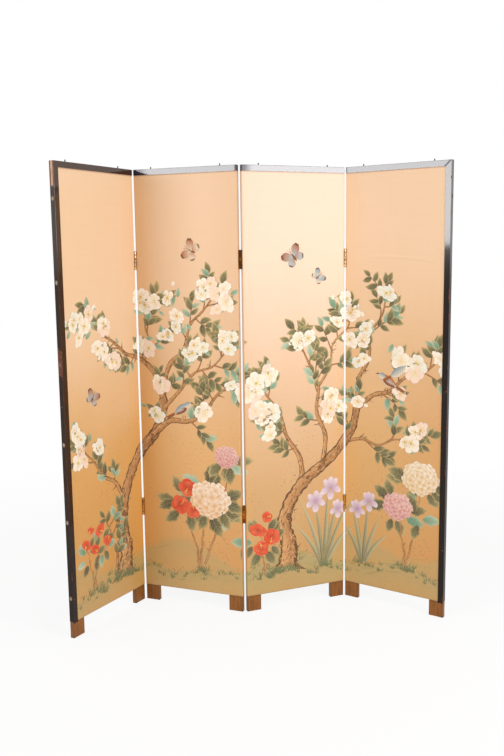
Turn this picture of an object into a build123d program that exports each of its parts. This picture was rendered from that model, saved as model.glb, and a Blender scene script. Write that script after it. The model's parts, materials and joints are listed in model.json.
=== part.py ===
from build123d import *
import math
import os

os.makedirs("parts", exist_ok=True)

# A four-panel folding screen, in millimetres, standing in a zigzag on the floor.
# The painted faces look towards -Y, the panels are numbered from left to right, and the
# origin is on the floor in the middle of the screen's footprint.

# ---- Overall sizes of a panel ----
panel_width = 450.0
panel_height = 1830.0
panel_thickness = 20.0

# ---- Stance: heading of panel 2 from the X axis, and how far each joint is folded from flat ----
heading_2 = -20.4
fold_1_2 = 79.5
fold_2_3 = 42.0
fold_3_4 = 55.5

# ---- Core, boards and silk ----
silk_thickness = 0.5
board_thickness = 3.0
stile_width = 40.0
rail_height = 60.0
rail_count = 4

# ---- Black cap strip along the top and side strips on the two outer ends ----
strip_width = 23.0
strip_proud = 1.8
strip_wall = 4.0
strip_round = 1.0
strip_overhang = 5.0

# ---- Feet ----
foot_height = 67.0
foot_width = 61.0
foot_inset = 0.5
foot_bevel = 1.2
tenon_width = 24.0
tenon_thickness = 8.0
tenon_height = 30.0
tenon_clearance = 0.1

# ---- Pegs on the top edge ----
peg_inset = 74.0
peg_radius = 2.4
peg_stand = 9.0
tang_width = 3.0
tang_clearance = 0.05

# ---- Butt hinges ----
hinge_height = 76.0
hinge_below_top = 366.0
hinge_above_foot = 350.0
knuckle_count = 5
knuckle_gap = 0.25
barrel_radius = 3.4
barrel_clearance = 0.3
pin_radius = 1.5
pin_clearance = 0.05
leaf_thickness = 1.5
leaf_reach = 14.0
leaf_inlet = 0.3
axis_from_end = 2.1

# ---- Sizes that follow ----
core_front = silk_thickness + board_thickness
core_back = panel_thickness - board_thickness
core_thickness = core_back - core_front
core_middle = (core_front + core_back) / 2
body_bottom = foot_height
body_top = panel_height - strip_wall
body_height = body_top - body_bottom
# The axis stands so far off the panel's face that the barrel clears the corner.
axis_proud = math.sqrt((barrel_radius + barrel_clearance) ** 2 - axis_from_end**2)
leaf_seat = axis_from_end + silk_thickness
leaf_width = axis_proud + leaf_reach
knuckle_pitch = hinge_height / knuckle_count
hinge_centres = [
    foot_height + hinge_above_foot,
    panel_height - hinge_below_top,
]


# ---- Stance ----
def standing(axis_point, heading, local_x, local_y):
    """A panel's plane: x along the panel, y to its back, with (local_x, local_y) at axis_point."""
    turn = math.radians(heading)
    along = Vector(math.cos(turn), math.sin(turn), 0)
    loose = Plane(origin=(0, 0, 0), x_dir=along, z_dir=(0, 0, 1))
    corner = axis_point - loose.from_local_coords(Vector(local_x, local_y, 0))
    return Plane(origin=corner, x_dir=along, z_dir=(0, 0, 1))


def shifted(plane, offset):
    """The same plane, moved by offset."""
    return Plane(origin=plane.origin + offset, x_dir=plane.x_dir, z_dir=(0, 0, 1))


left_axis_x = -axis_from_end
right_axis_x = panel_width + axis_from_end
front_axis_y = -axis_proud
back_axis_y = panel_thickness + axis_proud

heading_1 = heading_2 + fold_1_2
heading_3 = heading_2 + fold_2_3
heading_4 = heading_3 - fold_3_4

# The middle joint is laid down first and the others follow from it.
axis_2_3 = Vector(0, 0, 0)
plane_2 = standing(axis_2_3, heading_2, right_axis_x, back_axis_y)
plane_3 = standing(axis_2_3, heading_3, left_axis_x, back_axis_y)
axis_1_2 = plane_2.from_local_coords(Vector(left_axis_x, front_axis_y, 0))
axis_3_4 = plane_3.from_local_coords(Vector(right_axis_x, front_axis_y, 0))
plane_1 = standing(axis_1_2, heading_1, right_axis_x, front_axis_y)
plane_4 = standing(axis_3_4, heading_4, left_axis_x, front_axis_y)

# Then everything moves so that the origin is in the middle of the footprint.
corners = []
for plane in (plane_1, plane_2, plane_3, plane_4):
    for x in (0, panel_width):
        for y in (-strip_proud, panel_thickness):
            corners.append(plane.from_local_coords(Vector(x, y, 0)))
middle_x = (min(c.X for c in corners) + max(c.X for c in corners)) / 2
middle_y = (min(c.Y for c in corners) + max(c.Y for c in corners)) / 2
to_origin = Vector(-middle_x, -middle_y, 0)

panels = [shifted(plane, to_origin) for plane in (plane_1, plane_2, plane_3, plane_4)]


# ---- Helpers for places on a panel ----
def side_section(panel):
    """An upright plane across the panel, x to the back and y up, for profiles that run along it."""
    return Plane(origin=panel.origin, x_dir=panel.y_dir, z_dir=panel.x_dir)


def hinge_ends(number):
    """The ends of a panel that carry hinges."""
    if number == 1:
        return ["right"]
    if number == 4:
        return ["left"]
    return ["left", "right"]


def hinge_at_front(number, end):
    """True where the hinge axis runs along the front edge: at joints 1-2 and 3-4."""
    return (number, end) not in ((2, "right"), (3, "left"))


def leaf_middle_y(at_front):
    """The middle of a leaf's part that lies on the end face, along the panel's y."""
    return leaf_reach / 2 if at_front else panel_thickness - leaf_reach / 2


def body_span(number):
    """Where the boards start and end along x: inside the side strip on an outer end."""
    start = strip_wall if number == 1 else 0
    finish = panel_width - strip_wall if number == 4 else panel_width
    return start, finish


def core_span(number):
    """Where the core starts and ends along x: also inside the silk's wrap at a hinge edge."""
    start, finish = body_span(number)
    if "left" in hinge_ends(number):
        start += silk_thickness
    if "right" in hinge_ends(number):
        finish -= silk_thickness
    return start, finish


def stile_middle(number, end):
    """The middle of a stile along x."""
    start, finish = core_span(number)
    return start + stile_width / 2 if end == "left" else finish - stile_width / 2


# ---- Core frame ----
def make_stile(number, end):
    """One upright of the core, mortised at the bottom for the foot's tenon."""
    panel = panels[number - 1]
    middle = (stile_middle(number, end), core_middle)
    with BuildPart() as stile:
        with BuildSketch(panel.offset(body_bottom)):
            with Locations(middle):
                Rectangle(stile_width, core_thickness)
        extrude(amount=body_height)
        with BuildSketch(panel.offset(body_bottom)):
            with Locations(middle):
                Rectangle(tenon_width + 2 * tenon_clearance, tenon_thickness + 2 * tenon_clearance)
        extrude(amount=tenon_height + tenon_clearance, mode=Mode.SUBTRACT)
    stile.part.label = f"panel_{number}_stile_{end}"
    export_step(stile.part, f"parts/{stile.part.label}.step")


def make_rails(number):
    """The crosswise members of the core, spaced evenly from the bottom to the top."""
    panel = panels[number - 1]
    start, finish = core_span(number)
    rail_length = finish - start - 2 * stile_width
    spacing = (body_height - rail_height) / (rail_count - 1)
    with BuildPart() as rails:
        for row in range(rail_count):
            with BuildSketch(panel.offset(body_bottom + row * spacing)):
                with Locations(((start + finish) / 2, core_middle)):
                    Rectangle(rail_length, core_thickness)
            extrude(amount=rail_height)
    rails.part.label = f"panel_{number}_rails"
    export_step(rails.part, f"parts/{rails.part.label}.step")


# ---- Boards and silk ----
def make_front_board(number):
    """The thin board under the silk, inside the silk's wrap at a hinge edge."""
    panel = panels[number - 1]
    start, finish = core_span(number)
    with BuildPart() as front_board:
        with BuildSketch(panel.offset(body_bottom)):
            with Locations(((start + finish) / 2, silk_thickness + board_thickness / 2)):
                Rectangle(finish - start, board_thickness)
        extrude(amount=body_height)
    front_board.part.label = f"panel_{number}_front_board"
    export_step(front_board.part, f"parts/{front_board.part.label}.step")


def make_back_board(number):
    """The lacquered board that closes the back, flush with the core's edges."""
    panel = panels[number - 1]
    start, finish = core_span(number)
    with BuildPart() as back_board:
        with BuildSketch(panel.offset(body_bottom)):
            with Locations(((start + finish) / 2, core_back + board_thickness / 2)):
                Rectangle(finish - start, board_thickness)
        extrude(amount=body_height)
    back_board.part.label = f"panel_{number}_back_board"
    export_step(back_board.part, f"parts/{back_board.part.label}.step")


def make_silk(number):
    """The silk: a sheet over the front, turned round each hinge edge as far as the back board."""
    panel = panels[number - 1]
    start, finish = body_span(number)
    with BuildPart() as silk:
        with BuildSketch(panel.offset(body_bottom)):
            with Locations(((start + finish) / 2, silk_thickness / 2)):
                Rectangle(finish - start, silk_thickness)
            for end in hinge_ends(number):
                edge = silk_thickness / 2 if end == "left" else panel_width - silk_thickness / 2
                with Locations((edge, core_back / 2)):
                    Rectangle(silk_thickness, core_back)
        extrude(amount=body_height)
        # The wrap is cut away behind each hinge leaf, which is screwed to the bare stile.
        for end in hinge_ends(number):
            edge = 0 if end == "left" else panel_width
            near = leaf_middle_y(hinge_at_front(number, end))
            for centre in hinge_centres:
                with BuildSketch(panel.offset(centre - hinge_height / 2 - leaf_inlet)):
                    with Locations((edge, near)):
                        Rectangle(2 * silk_thickness, leaf_reach + 2 * leaf_inlet)
                extrude(amount=hinge_height + 2 * leaf_inlet, mode=Mode.SUBTRACT)
    silk.part.label = f"panel_{number}_silk"
    export_step(silk.part, f"parts/{silk.part.label}.step")


# ---- Lacquered strips ----
def mitre_plane(number):
    """The 45 degree cut where a side strip meets the cap strip, looking into the cap's half."""
    panel = panels[number - 1]
    outer_x = 0 if number == 1 else panel_width
    inwards = 1 if number == 1 else -1
    corner = panel.from_local_coords(Vector(outer_x, 0, panel_height))
    normal = panel.x_dir * inwards + Vector(0, 0, 1)
    return Plane(origin=corner, x_dir=panel.y_dir, z_dir=normal)


def make_cap_strip(number):
    """An L moulding that caps the top edge and hangs down over the front of the silk."""
    panel = panels[number - 1]
    with BuildPart() as cap_strip:
        with BuildSketch(side_section(panel)):
            with BuildLine():
                Polyline(
                    (panel_thickness, panel_height),
                    (-strip_proud, panel_height),
                    (-strip_proud, panel_height - strip_width),
                    (0, panel_height - strip_width),
                    (0, body_top),
                    (panel_thickness, body_top),
                    close=True,
                )
            make_face()
        extrude(amount=panel_width)
        front = cap_strip.faces().sort_by(Axis((0, 0, 0), panel.y_dir))[0]
        fillet(front.edges().sort_by(Axis.Z)[-1], radius=strip_round)
        if number in (1, 4):
            split(bisect_by=mitre_plane(number), keep=Keep.TOP)
        with BuildSketch(panel.offset(body_top)):
            with Locations(*peg_spots()):
                Rectangle(tang_width + 2 * tang_clearance, tang_width + 2 * tang_clearance)
        extrude(amount=strip_wall, mode=Mode.SUBTRACT)
    cap_strip.part.label = f"panel_{number}_cap_strip"
    export_step(cap_strip.part, f"parts/{cap_strip.part.label}.step")


def make_side_strip(number):
    """The same L moulding down an outer end, its front lip running on over the foot's top."""
    panel = panels[number - 1]
    outer = 0 if number == 1 else panel_width
    inwards = 1 if number == 1 else -1
    with BuildPart() as side_strip:
        with BuildSketch(panel.offset(body_bottom - strip_overhang)):
            with BuildLine():
                Polyline(
                    (outer, panel_thickness),
                    (outer, -strip_proud),
                    (outer + inwards * strip_width, -strip_proud),
                    (outer + inwards * strip_width, 0),
                    (outer + inwards * strip_wall, 0),
                    (outer + inwards * strip_wall, panel_thickness),
                    close=True,
                )
            make_face()
        extrude(amount=panel_height - body_bottom + strip_overhang)
        # The edge wall stops on top of the foot; only the front lip passes it.
        with BuildSketch(panel.offset(body_bottom)):
            with Locations((outer, panel_thickness / 2)):
                Rectangle(2 * strip_wall, panel_thickness)
        extrude(amount=-strip_overhang, mode=Mode.SUBTRACT)
        front = side_strip.faces().sort_by(Axis((0, 0, 0), panel.y_dir))[0]
        outer_edge = front.edges().sort_by(Axis((0, 0, 0), panel.x_dir * inwards))[0]
        fillet(outer_edge, radius=strip_round)
        split(bisect_by=mitre_plane(number), keep=Keep.BOTTOM)
    end = "left" if number == 1 else "right"
    side_strip.part.label = f"panel_{number}_side_strip_{end}"
    export_step(side_strip.part, f"parts/{side_strip.part.label}.step")


# ---- Feet ----
def make_foot(number, end):
    """A block just behind the silk's face, its edges eased, with a stub tenon in the stile above."""
    panel = panels[number - 1]
    foot_depth = panel_thickness - silk_thickness
    near = foot_inset + foot_width / 2
    foot_middle = near if end == "left" else panel_width - near
    with BuildPart() as foot:
        with BuildSketch(panel):
            with Locations((foot_middle, silk_thickness + foot_depth / 2)):
                Rectangle(foot_width, foot_depth)
        extrude(amount=foot_height)
        for which in (0, -1):
            face = foot.faces().sort_by(Axis((0, 0, 0), panel.y_dir))[which]
            chamfer(face.edges().sort_by(Axis.Z)[:-1], length=foot_bevel)
        with BuildSketch(panel.offset(foot_height)):
            with Locations((stile_middle(number, end), core_middle)):
                Rectangle(tenon_width, tenon_thickness)
        extrude(amount=tenon_height)
    foot.part.label = f"panel_{number}_foot_{end}"
    export_step(foot.part, f"parts/{foot.part.label}.step")


# ---- Pegs along the top ----
def peg_spots():
    """The places of the two pegs on a panel's top edge."""
    return [(peg_inset, core_middle), (panel_width - peg_inset, core_middle)]


def make_pegs(number):
    """Two round pegs on the cap strip, each with a square tang down through it to the top rail."""
    panel = panels[number - 1]
    with BuildPart() as pegs:
        with BuildSketch(panel.offset(body_top)):
            with Locations(*peg_spots()):
                Rectangle(tang_width, tang_width)
        extrude(amount=strip_wall)
        with BuildSketch(panel.offset(panel_height)):
            with Locations(*peg_spots()):
                Circle(peg_radius)
        extrude(amount=peg_stand)
    pegs.part.label = f"panel_{number}_top_pegs"
    export_step(pegs.part, f"parts/{pegs.part.label}.step")


# ---- Hinges ----
def axis_plane(number, end, height):
    """A plane on a hinge axis at a height, its x pointing into the panel."""
    panel = panels[number - 1]
    axis_x = right_axis_x if end == "right" else left_axis_x
    axis_y = front_axis_y if hinge_at_front(number, end) else back_axis_y
    origin = panel.from_local_coords(Vector(axis_x, axis_y, height))
    inwards = -panel.x_dir if end == "right" else panel.x_dir
    return Plane(origin=origin, x_dir=inwards, z_dir=(0, 0, 1))


def make_leaf(number, end, centre, name):
    """One leaf: a plate on the stile's end face that curls into knuckles round the pin.

    The leaf on a panel's right end has the odd knuckles, the one on a left end the even ones,
    and each is notched where the other's knuckles turn.
    """
    bottom = axis_plane(number, end, centre - hinge_height / 2)
    # In this plane +y points to the panel's back on its left end and to its front on its right.
    plate_side = 1 if (end == "left") == hinge_at_front(number, end) else -1
    own_knuckles = 0 if end == "right" else 1
    knuckle_height = knuckle_pitch - knuckle_gap
    notch_depth = barrel_radius + barrel_clearance / 2
    with BuildPart() as leaf:
        with BuildSketch(bottom):
            with Locations((leaf_seat - leaf_thickness / 2, plate_side * leaf_width / 2)):
                Rectangle(leaf_thickness, leaf_width)
        extrude(amount=hinge_height)
        for place in range(knuckle_count):
            middle = (place + 0.5) * knuckle_pitch
            if place % 2 == own_knuckles:
                with BuildSketch(bottom.offset(middle - knuckle_height / 2)):
                    Circle(barrel_radius)
                extrude(amount=knuckle_height)
            else:
                with BuildSketch(bottom.offset(middle - knuckle_pitch / 2 - knuckle_gap / 2)):
                    with Locations((leaf_seat, 0)):
                        Rectangle(2 * leaf_thickness, 2 * notch_depth)
                extrude(amount=knuckle_pitch + knuckle_gap, mode=Mode.SUBTRACT)
        with BuildSketch(bottom):
            Circle(pin_radius + pin_clearance)
        extrude(amount=hinge_height, mode=Mode.SUBTRACT)
    leaf.part.label = f"{name}_leaf_{'left' if end == 'right' else 'right'}"
    export_step(leaf.part, f"parts/{leaf.part.label}.step")


def make_hinge_pin(number, end, centre, name):
    """The pin through all the knuckles of one hinge, flush at both ends."""
    with BuildPart() as hinge_pin:
        with BuildSketch(axis_plane(number, end, centre - hinge_height / 2)):
            Circle(pin_radius)
        extrude(amount=hinge_height)
    hinge_pin.part.label = f"{name}_pin"
    export_step(hinge_pin.part, f"parts/{hinge_pin.part.label}.step")


# ---- The four panels ----
for number in (1, 2, 3, 4):
    for end in ("left", "right"):
        make_stile(number, end)
        make_foot(number, end)
    make_rails(number)
    make_front_board(number)
    make_back_board(number)
    make_silk(number)
    make_cap_strip(number)
    make_pegs(number)
make_side_strip(1)
make_side_strip(4)

# ---- Two hinges at each of the three joints ----
for left_panel in (1, 2, 3):
    for height_name, centre in zip(("lower", "upper"), hinge_centres):
        name = f"hinge_{left_panel}_{left_panel + 1}_{height_name}"
        make_leaf(left_panel, "right", centre, name)
        make_leaf(left_panel + 1, "left", centre, name)
        make_hinge_pin(left_panel, "right", centre, name)
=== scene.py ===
import json
import math

import bpy
import numpy as np
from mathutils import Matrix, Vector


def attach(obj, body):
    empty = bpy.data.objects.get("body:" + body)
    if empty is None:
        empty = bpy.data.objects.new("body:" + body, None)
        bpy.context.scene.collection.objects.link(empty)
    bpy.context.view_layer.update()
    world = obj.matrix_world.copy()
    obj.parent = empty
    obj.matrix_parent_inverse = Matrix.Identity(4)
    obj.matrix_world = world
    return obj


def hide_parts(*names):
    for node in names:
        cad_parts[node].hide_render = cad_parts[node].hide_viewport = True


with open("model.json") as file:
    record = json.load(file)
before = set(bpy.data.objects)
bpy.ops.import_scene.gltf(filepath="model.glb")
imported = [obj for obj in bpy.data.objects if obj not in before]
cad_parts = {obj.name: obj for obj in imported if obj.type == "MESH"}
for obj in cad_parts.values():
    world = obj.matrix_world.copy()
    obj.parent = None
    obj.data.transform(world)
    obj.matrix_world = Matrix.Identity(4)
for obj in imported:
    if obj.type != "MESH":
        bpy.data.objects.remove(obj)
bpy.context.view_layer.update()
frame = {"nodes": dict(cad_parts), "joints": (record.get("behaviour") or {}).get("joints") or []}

# ---- Floor and studio ----
# A seamless pale floor with two large soft boxes, one at each side in front of the screen, and a
# white surround. They give the broad soft light that silk and lacquer are usually shown in.


class Field:
    """A value worked out by shader nodes. Arithmetic with it adds the Math nodes that work it out."""

    def __init__(self, socket):
        self.socket, self.tree = socket, socket.id_data

    __add__ = __radd__ = lambda self, other: calc("ADD", self, other)
    __mul__ = __rmul__ = lambda self, other: calc("MULTIPLY", self, other)
    __sub__ = lambda self, other: calc("SUBTRACT", self, other)
    __rsub__ = lambda self, other: calc("SUBTRACT", other, self)
    __truediv__ = lambda self, other: calc("DIVIDE", self, other)
    __abs__ = lambda self: calc("ABSOLUTE", self)


def add(kind, into=None, tree=None, **settings):
    """Adds a shader node; an input that is given a field is linked, any other is set.

    The node goes into the tree that its fields are in, or into the one that is named.
    """
    into = into or {}
    if tree is None:
        tree = next(value.tree for value in into.values() if isinstance(value, Field))
    made = tree.nodes.new("ShaderNode" + kind)
    for key, value in settings.items():
        setattr(made, key, value)
    for key, value in into.items():
        if isinstance(value, Field):
            tree.links.new(value.socket, made.inputs[key])
        else:
            made.inputs[key].default_value = value
    return made


def field(kind, into=None, output=0, **settings):
    """One output of a new shader node."""
    return Field(add(kind, into, **settings).outputs[output])


def calc(operation, *values, clamp=False):
    """The result of one Math node."""
    return field("Math", dict(enumerate(values)), operation=operation, use_clamp=clamp)


def ramp(value, low, high, start=0.0, finish=1.0):
    """A smooth step of value from low to high, rescaled to run from start to finish."""
    into = {"Value": value, "From Min": low, "From Max": high, "To Min": start, "To Max": finish}
    return field("MapRange", into, "Result", interpolation_type="SMOOTHSTEP")


def object_place(tree):
    """The place of the point that is shaded."""
    return field("TexCoord", output="Object", tree=tree)


def new_material(name):
    """An empty node material and its tree."""
    made = bpy.data.materials.new(name)
    made.use_nodes = True
    made.node_tree.nodes.clear()
    return made, made.node_tree


def seen_directly(tree):
    """1 for camera, mirror and glass rays, which are the ones that show the surround itself."""
    rays = add("LightPath", tree=tree).outputs
    camera, mirror, glass = (Field(rays[f"Is {ray} Ray"]) for ray in ("Camera", "Glossy", "Transmission"))
    return calc("ADD", camera + mirror, glass, clamp=True)


def grid_faces(rows, columns):
    """The quads of a grid of points laid row by row: each point with its right, upper right and upper one."""
    corner = (np.arange(rows - 1)[:, None] * columns + np.arange(columns - 1)).ravel()
    return np.stack([corner, corner + 1, corner + columns + 1, corner + columns], 1)


def new_mesh(name, points, faces, material, smooth=True):
    """A mesh object at the origin from an array of points and an array of faces, with its material."""
    mesh = bpy.data.meshes.new(name)
    mesh.from_pydata(points, [], faces)
    mesh.polygons.foreach_set("use_smooth", np.full(len(faces), smooth))
    mesh.update()
    mesh.materials.append(material)
    made = bpy.data.objects.new(name, mesh)
    bpy.context.scene.collection.objects.link(made)
    return made


floor_size, floor_steps, floor_grey = 30.0, 24, 0.94
glow_from, glow_to = 1.0, 3.2
floor_white, tree = new_material("floor_white")
shadowed = field("BsdfDiffuse", {"Color": (floor_grey, floor_grey, floor_grey, 1)}, tree=tree)
plain = field("Emission", {"Color": (1, 1, 1, 1), "Strength": 1.0}, tree=tree)
# Far from the screen the floor turns into the white surround.
from_screen = field("VectorMath", {0: object_place(tree)}, "Value", operation="LENGTH")
floor_glow = ramp(from_screen, glow_from, glow_to, 0.86, 0.995)
both = field("MixShader", {0: seen_directly(tree) * floor_glow, 1: shadowed, 2: plain})
add("OutputMaterial", {"Surface": both})
steps = np.linspace(-floor_size / 2, floor_size / 2, floor_steps + 1)
floor_x, floor_y = np.meshgrid(steps, steps)
floor_points = np.stack([floor_x, floor_y, np.zeros_like(floor_x)], -1).reshape(-1, 3)
new_mesh("studio_floor", floor_points, grid_faces(len(steps), len(steps)), floor_white)

surround_light, surround_colour = 0.62, (1.0, 0.985, 0.965, 1)
world = bpy.data.worlds.new("white_surround")
bpy.context.scene.world = world
world.use_nodes = True
tree = world.node_tree
tree.nodes.clear()
fill = field("Background", {"Color": surround_colour, "Strength": surround_light}, tree=tree)
white = field("Background", {"Color": (1, 1, 1, 1), "Strength": 1.0}, tree=tree)
add("OutputWorld", {"Surface": field("MixShader", {0: seen_directly(tree), 1: fill, 2: white})})


def soft_box(name, place, aim, width, height, watts):
    """A rectangular area lamp at place, facing aim."""
    lamp = bpy.data.lights.new(name, "AREA")
    lamp.shape, lamp.size, lamp.size_y = "RECTANGLE", width, height
    lamp.energy, lamp.color = watts, (1.0, 0.99, 0.985)
    made = bpy.data.objects.new(name, lamp)
    made.location = place
    made.rotation_mode = "QUATERNION"
    made.rotation_quaternion = (Vector(place) - Vector(aim)).to_track_quat("Z", "Y")
    bpy.context.scene.collection.objects.link(made)


soft_box("soft_box_left", (-2.85, -2.2, 1.93), (0.0, 0.0, 1.6), 1.34, 0.78, 41)
soft_box("soft_box_right", (2.75, -2.4, 1.98), (0.0, 0.0, 1.5), 1.40, 0.95, 67)

# The camera looks along +Y from head height, tipped down and rolled by under a degree.
camera_place, pitch, roll = (-0.0263, -3.3612, 1.4835), math.radians(8.278), math.radians(-0.735)
long_side_pixels, focal_pixels, sensor_width = 756, 849.49, 36.0
camera_data = bpy.data.cameras.new("camera")
camera_data.sensor_width = sensor_width
camera_data.lens = sensor_width * focal_pixels / long_side_pixels
camera_data.clip_start, camera_data.clip_end = 0.05, 100.0
camera = bpy.data.objects.new("camera", camera_data)
bpy.context.scene.collection.objects.link(camera)
bpy.context.scene.camera = camera
level_right = np.array([1.0, 0.0, 0.0])
level_up = np.array([0.0, math.sin(pitch), math.cos(pitch)])
camera_right = math.cos(roll) * level_right + math.sin(roll) * level_up
camera_up = math.cos(roll) * level_up - math.sin(roll) * level_right
turned = np.eye(4)
turned[:3] = np.stack([camera_right, camera_up, np.cross(camera_right, camera_up), camera_place], 1)
camera.matrix_world = Matrix(turned.tolist())
bpy.context.scene.view_settings.view_transform = "Standard"

# ---- Core frame: stiles, rails and front boards ----
# Each panel is built on a light frame of planed softwood, stiles and four rails glued up, with a
# thin plywood board glued over the front. Little of it shows but the bottom edge.

# Four panels stand in a zigzag, joined edge to edge by butt hinges. A place on a panel is given as
# x along the panel from its left end, y from the silk's face to the back, and z up from the floor.
panel_length, panel_height, panel_depth = 0.450, 1.830, 0.020
panel_numbers = (1, 2, 3, 4)
heading = {1: 59.1, 2: -20.4, 3: 21.6, 4: -33.9}
axis_beyond_end, axis_proud = 0.0021, 0.003046
joint_place = {joint["name"]: np.array(joint["pos_m"][:2]) for joint in frame["joints"]}
# The joint that each panel hangs on here, with that axis's x and y on the panel.
anchor = {
    1: ("joint_1_2", panel_length + axis_beyond_end, -axis_proud),
    2: ("joint_1_2", -axis_beyond_end, -axis_proud),
    3: ("joint_2_3", -axis_beyond_end, panel_depth + axis_proud),
    4: ("joint_3_4", -axis_beyond_end, -axis_proud),
}


def panel_axes(number):
    """A panel's corner, and its x and y directions, on the floor plan."""
    turn = math.radians(heading[number])
    along = np.array([math.cos(turn), math.sin(turn)])
    back = np.array([-math.sin(turn), math.cos(turn)])
    joint, x, y = anchor[number]
    return joint_place[joint] - x * along - y * back, along, back


def tint(red, green, blue):
    """Linear colour of a swatch of display values 0 to 255: each over 255, put through the display curve."""
    c = np.array([red, green, blue]) / 255
    c = np.where(c <= 0.04045, c / 12.92, ((c + 0.055) / 1.055) ** 2.4)
    return (*c.tolist(), 1.0)


def blend_colours(share, first, second, kind="MIX"):
    """Two colours mixed by share, 0 for the first and 1 for the second."""
    return field("Mix", {0: share, 6: first, 7: second}, 2, data_type="RGBA", blend_type=kind)


def stretched(place, x=1.0, y=1.0, z=1.0):
    """A place multiplied by a number along each direction, to stretch a pattern."""
    return field("VectorMath", {0: place, 1: (x, y, z)}, operation="MULTIPLY")


def noise(place, scale, detail=3.0, roughness=0.55, distortion=0.0):
    """A noise value from 0 to 1 at a place."""
    into = {"Vector": place, "Scale": scale, "Detail": detail, "Roughness": roughness}
    return field("TexNoise", {**into, "Distortion": distortion}, "Fac")


def panel_place(tree, number):
    """Object coordinates turned back to (x, y, z) on a panel, for patterns that follow the panel."""
    corner, along, back = panel_axes(number)
    shift = (-float(corner @ along), -float(corner @ back), 0.0)
    turn = (0.0, 0.0, -math.radians(heading[number]))
    return field("Mapping", {"Vector": object_place(tree), "Location": shift, "Rotation": turn})


def open_group(name, inputs, outputs):
    """A new shader node group, its inputs as fields and the sockets of its outputs.

    inputs says for each name the kind of socket, or the value of a plain number.
    """
    group = bpy.data.node_groups.new(name, "ShaderNodeTree")
    for label, kind in inputs.items():
        socket_type = "NodeSocketFloat" if isinstance(kind, float) else "NodeSocket" + kind
        socket = group.interface.new_socket(label, in_out="INPUT", socket_type=socket_type)
        if isinstance(kind, float):
            socket.default_value = kind
    for label in outputs:
        socket_type = "NodeSocketColor" if label == "Colour" else "NodeSocketFloat"
        group.interface.new_socket(label, in_out="OUTPUT", socket_type=socket_type)
    taken = group.nodes.new("NodeGroupInput").outputs
    return group, [Field(taken[label]) for label in inputs], group.nodes.new("NodeGroupOutput").inputs


def hand_on(given, *results):
    """Joins results to the outputs of their group, in its order."""
    for socket, result in zip(given, results):
        result.tree.links.new(result.socket, socket)


def use_group(group, **into):
    """Puts a group into the tree of its fields and returns its outputs by name."""
    return {socket.name: Field(socket) for socket in add("Group", into, node_tree=group).outputs}


def cover(colour, roughness, relief=None, **more):
    """Ends a material with a surface of that colour and roughness.

    relief is a height with its strength and its depth in metres; more are other inputs of the
    surface, written with an underscore for each space.
    """
    into = {"Base Color": colour, "Roughness": roughness}
    if relief:
        into["Normal"] = field("Bump", dict(zip(("Height", "Strength", "Distance"), relief)))
    into.update({name.replace("_", " "): value for name, value in more.items()})
    add("OutputMaterial", {"Surface": field("BsdfPrincipled", into)})


def finish_node(name, material):
    """Gives a CAD node its material."""
    node = frame["nodes"][name]
    node.data.materials.clear()
    node.data.materials.append(material)


grain_strength, grain_depth = 0.3, 0.0003
wood_grain, (place, pale, dark, pore), given = open_group(
    "wood_grain", {"Place": "Vector", "Pale": "Color", "Dark": "Color", "Pore": 0.3}, ("Colour", "Height")
)
rings = noise(stretched(place, z=0.06), 130.0, 4.0, 0.6, 0.8)
fibres = noise(stretched(place, z=0.03), 900.0, 2.0)
grain_share = calc("ADD", ramp(rings, 0.35, 0.65), ramp(fibres, 0.52, 0.75) * pore, clamp=True)
hand_on(given, blend_colours(grain_share, pale, dark), 1.0 - grain_share)


def wood_material(name, number, pale, dark, roughness):
    """Wood whose grain runs up the panel."""
    material, tree = new_material(f"{name}_{number}")
    grain = use_group(wood_grain, Place=panel_place(tree, number), Pale=pale, Dark=dark)
    cover(grain["Colour"], roughness, (grain["Height"], grain_strength, grain_depth))
    return material


for number in panel_numbers:
    softwood = wood_material("softwood", number, tint(206, 168, 118), tint(170, 126, 78), 0.65)
    for part in ("stile_left", "stile_right", "rails"):
        finish_node(f"panel_{number}_{part}", softwood)
    plywood = wood_material("plywood", number, tint(196, 158, 108), tint(158, 118, 74), 0.7)
    finish_node(f"panel_{number}_front_board", plywood)

# ---- Black lacquer: back boards, cap strips and side strips ----
# The backs are plywood under black lacquer. The strips are small softwood mouldings, an L in section,
# lacquered the same black and pinned on; their edges are rubbed through to red-brown.
lip_proud = 0.0018
strip_middle = (panel_length / 2, (panel_depth - lip_proud) / 2, panel_height / 2)
strip_half = (panel_length / 2, (panel_depth + lip_proud) / 2, panel_height / 2)
# Up the side strips: the pins with the radius of their spots, where the lacquer is gone and where
# it is knocked off, between which heights the dulling by hands ends, and the scuffs on the back.
first_pin, pin_pitch, pin_spot = 0.162, 0.3065, 0.01
bare_above, bare_middle, knock_height, knock_half = 1.735, 0.0125, 1.087, 0.05
dull_below, shiny_above, scuff_top, scuff_full = 1.34, 1.525, 0.30, 0.09
wear_reach, strip_edge = 0.0036, 0.0005
# The brown black is a painted reflection of the silk, for the first panel's strips.
# The lavender black tints the other cap strips' reflections: a painted reflection.
lacquer_black, silk_reflection_brown, lavender_reflection_black = tint(34, 25, 21), tint(66, 44, 31), tint(40, 34, 50)
rubbed_wood, bare_wood, chip_pale = tint(112, 62, 38), tint(204, 172, 150), tint(118, 84, 62)
# The dulled ends of each cap strip: which end, from where to where the gloss comes back, and how
# much of it is left at the end itself.
cap_dull = {
    1: (),
    2: (("left", 0.004, 0.075, 0.3), ("right", 0.003, 0.012, 0.15)),
    3: (("left", 0.003, 0.05, 0.2),),
    4: (("left", 0.002, 0.009, 0.3), ("right", 0.003, 0.013, 0.15)),
}


def vector_calc(operation, *values):
    """The result of one Vector Math node."""
    return field("VectorMath", dict(enumerate(values)), operation=operation)


def parts_of(place):
    """The x, y and z of a place."""
    return [Field(socket) for socket in add("SeparateXYZ", {0: place}).outputs]


def place_of(x, y, z):
    """A place made of its x, y and z."""
    return field("CombineXYZ", {0: x, 1: y, 2: z})


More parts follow.
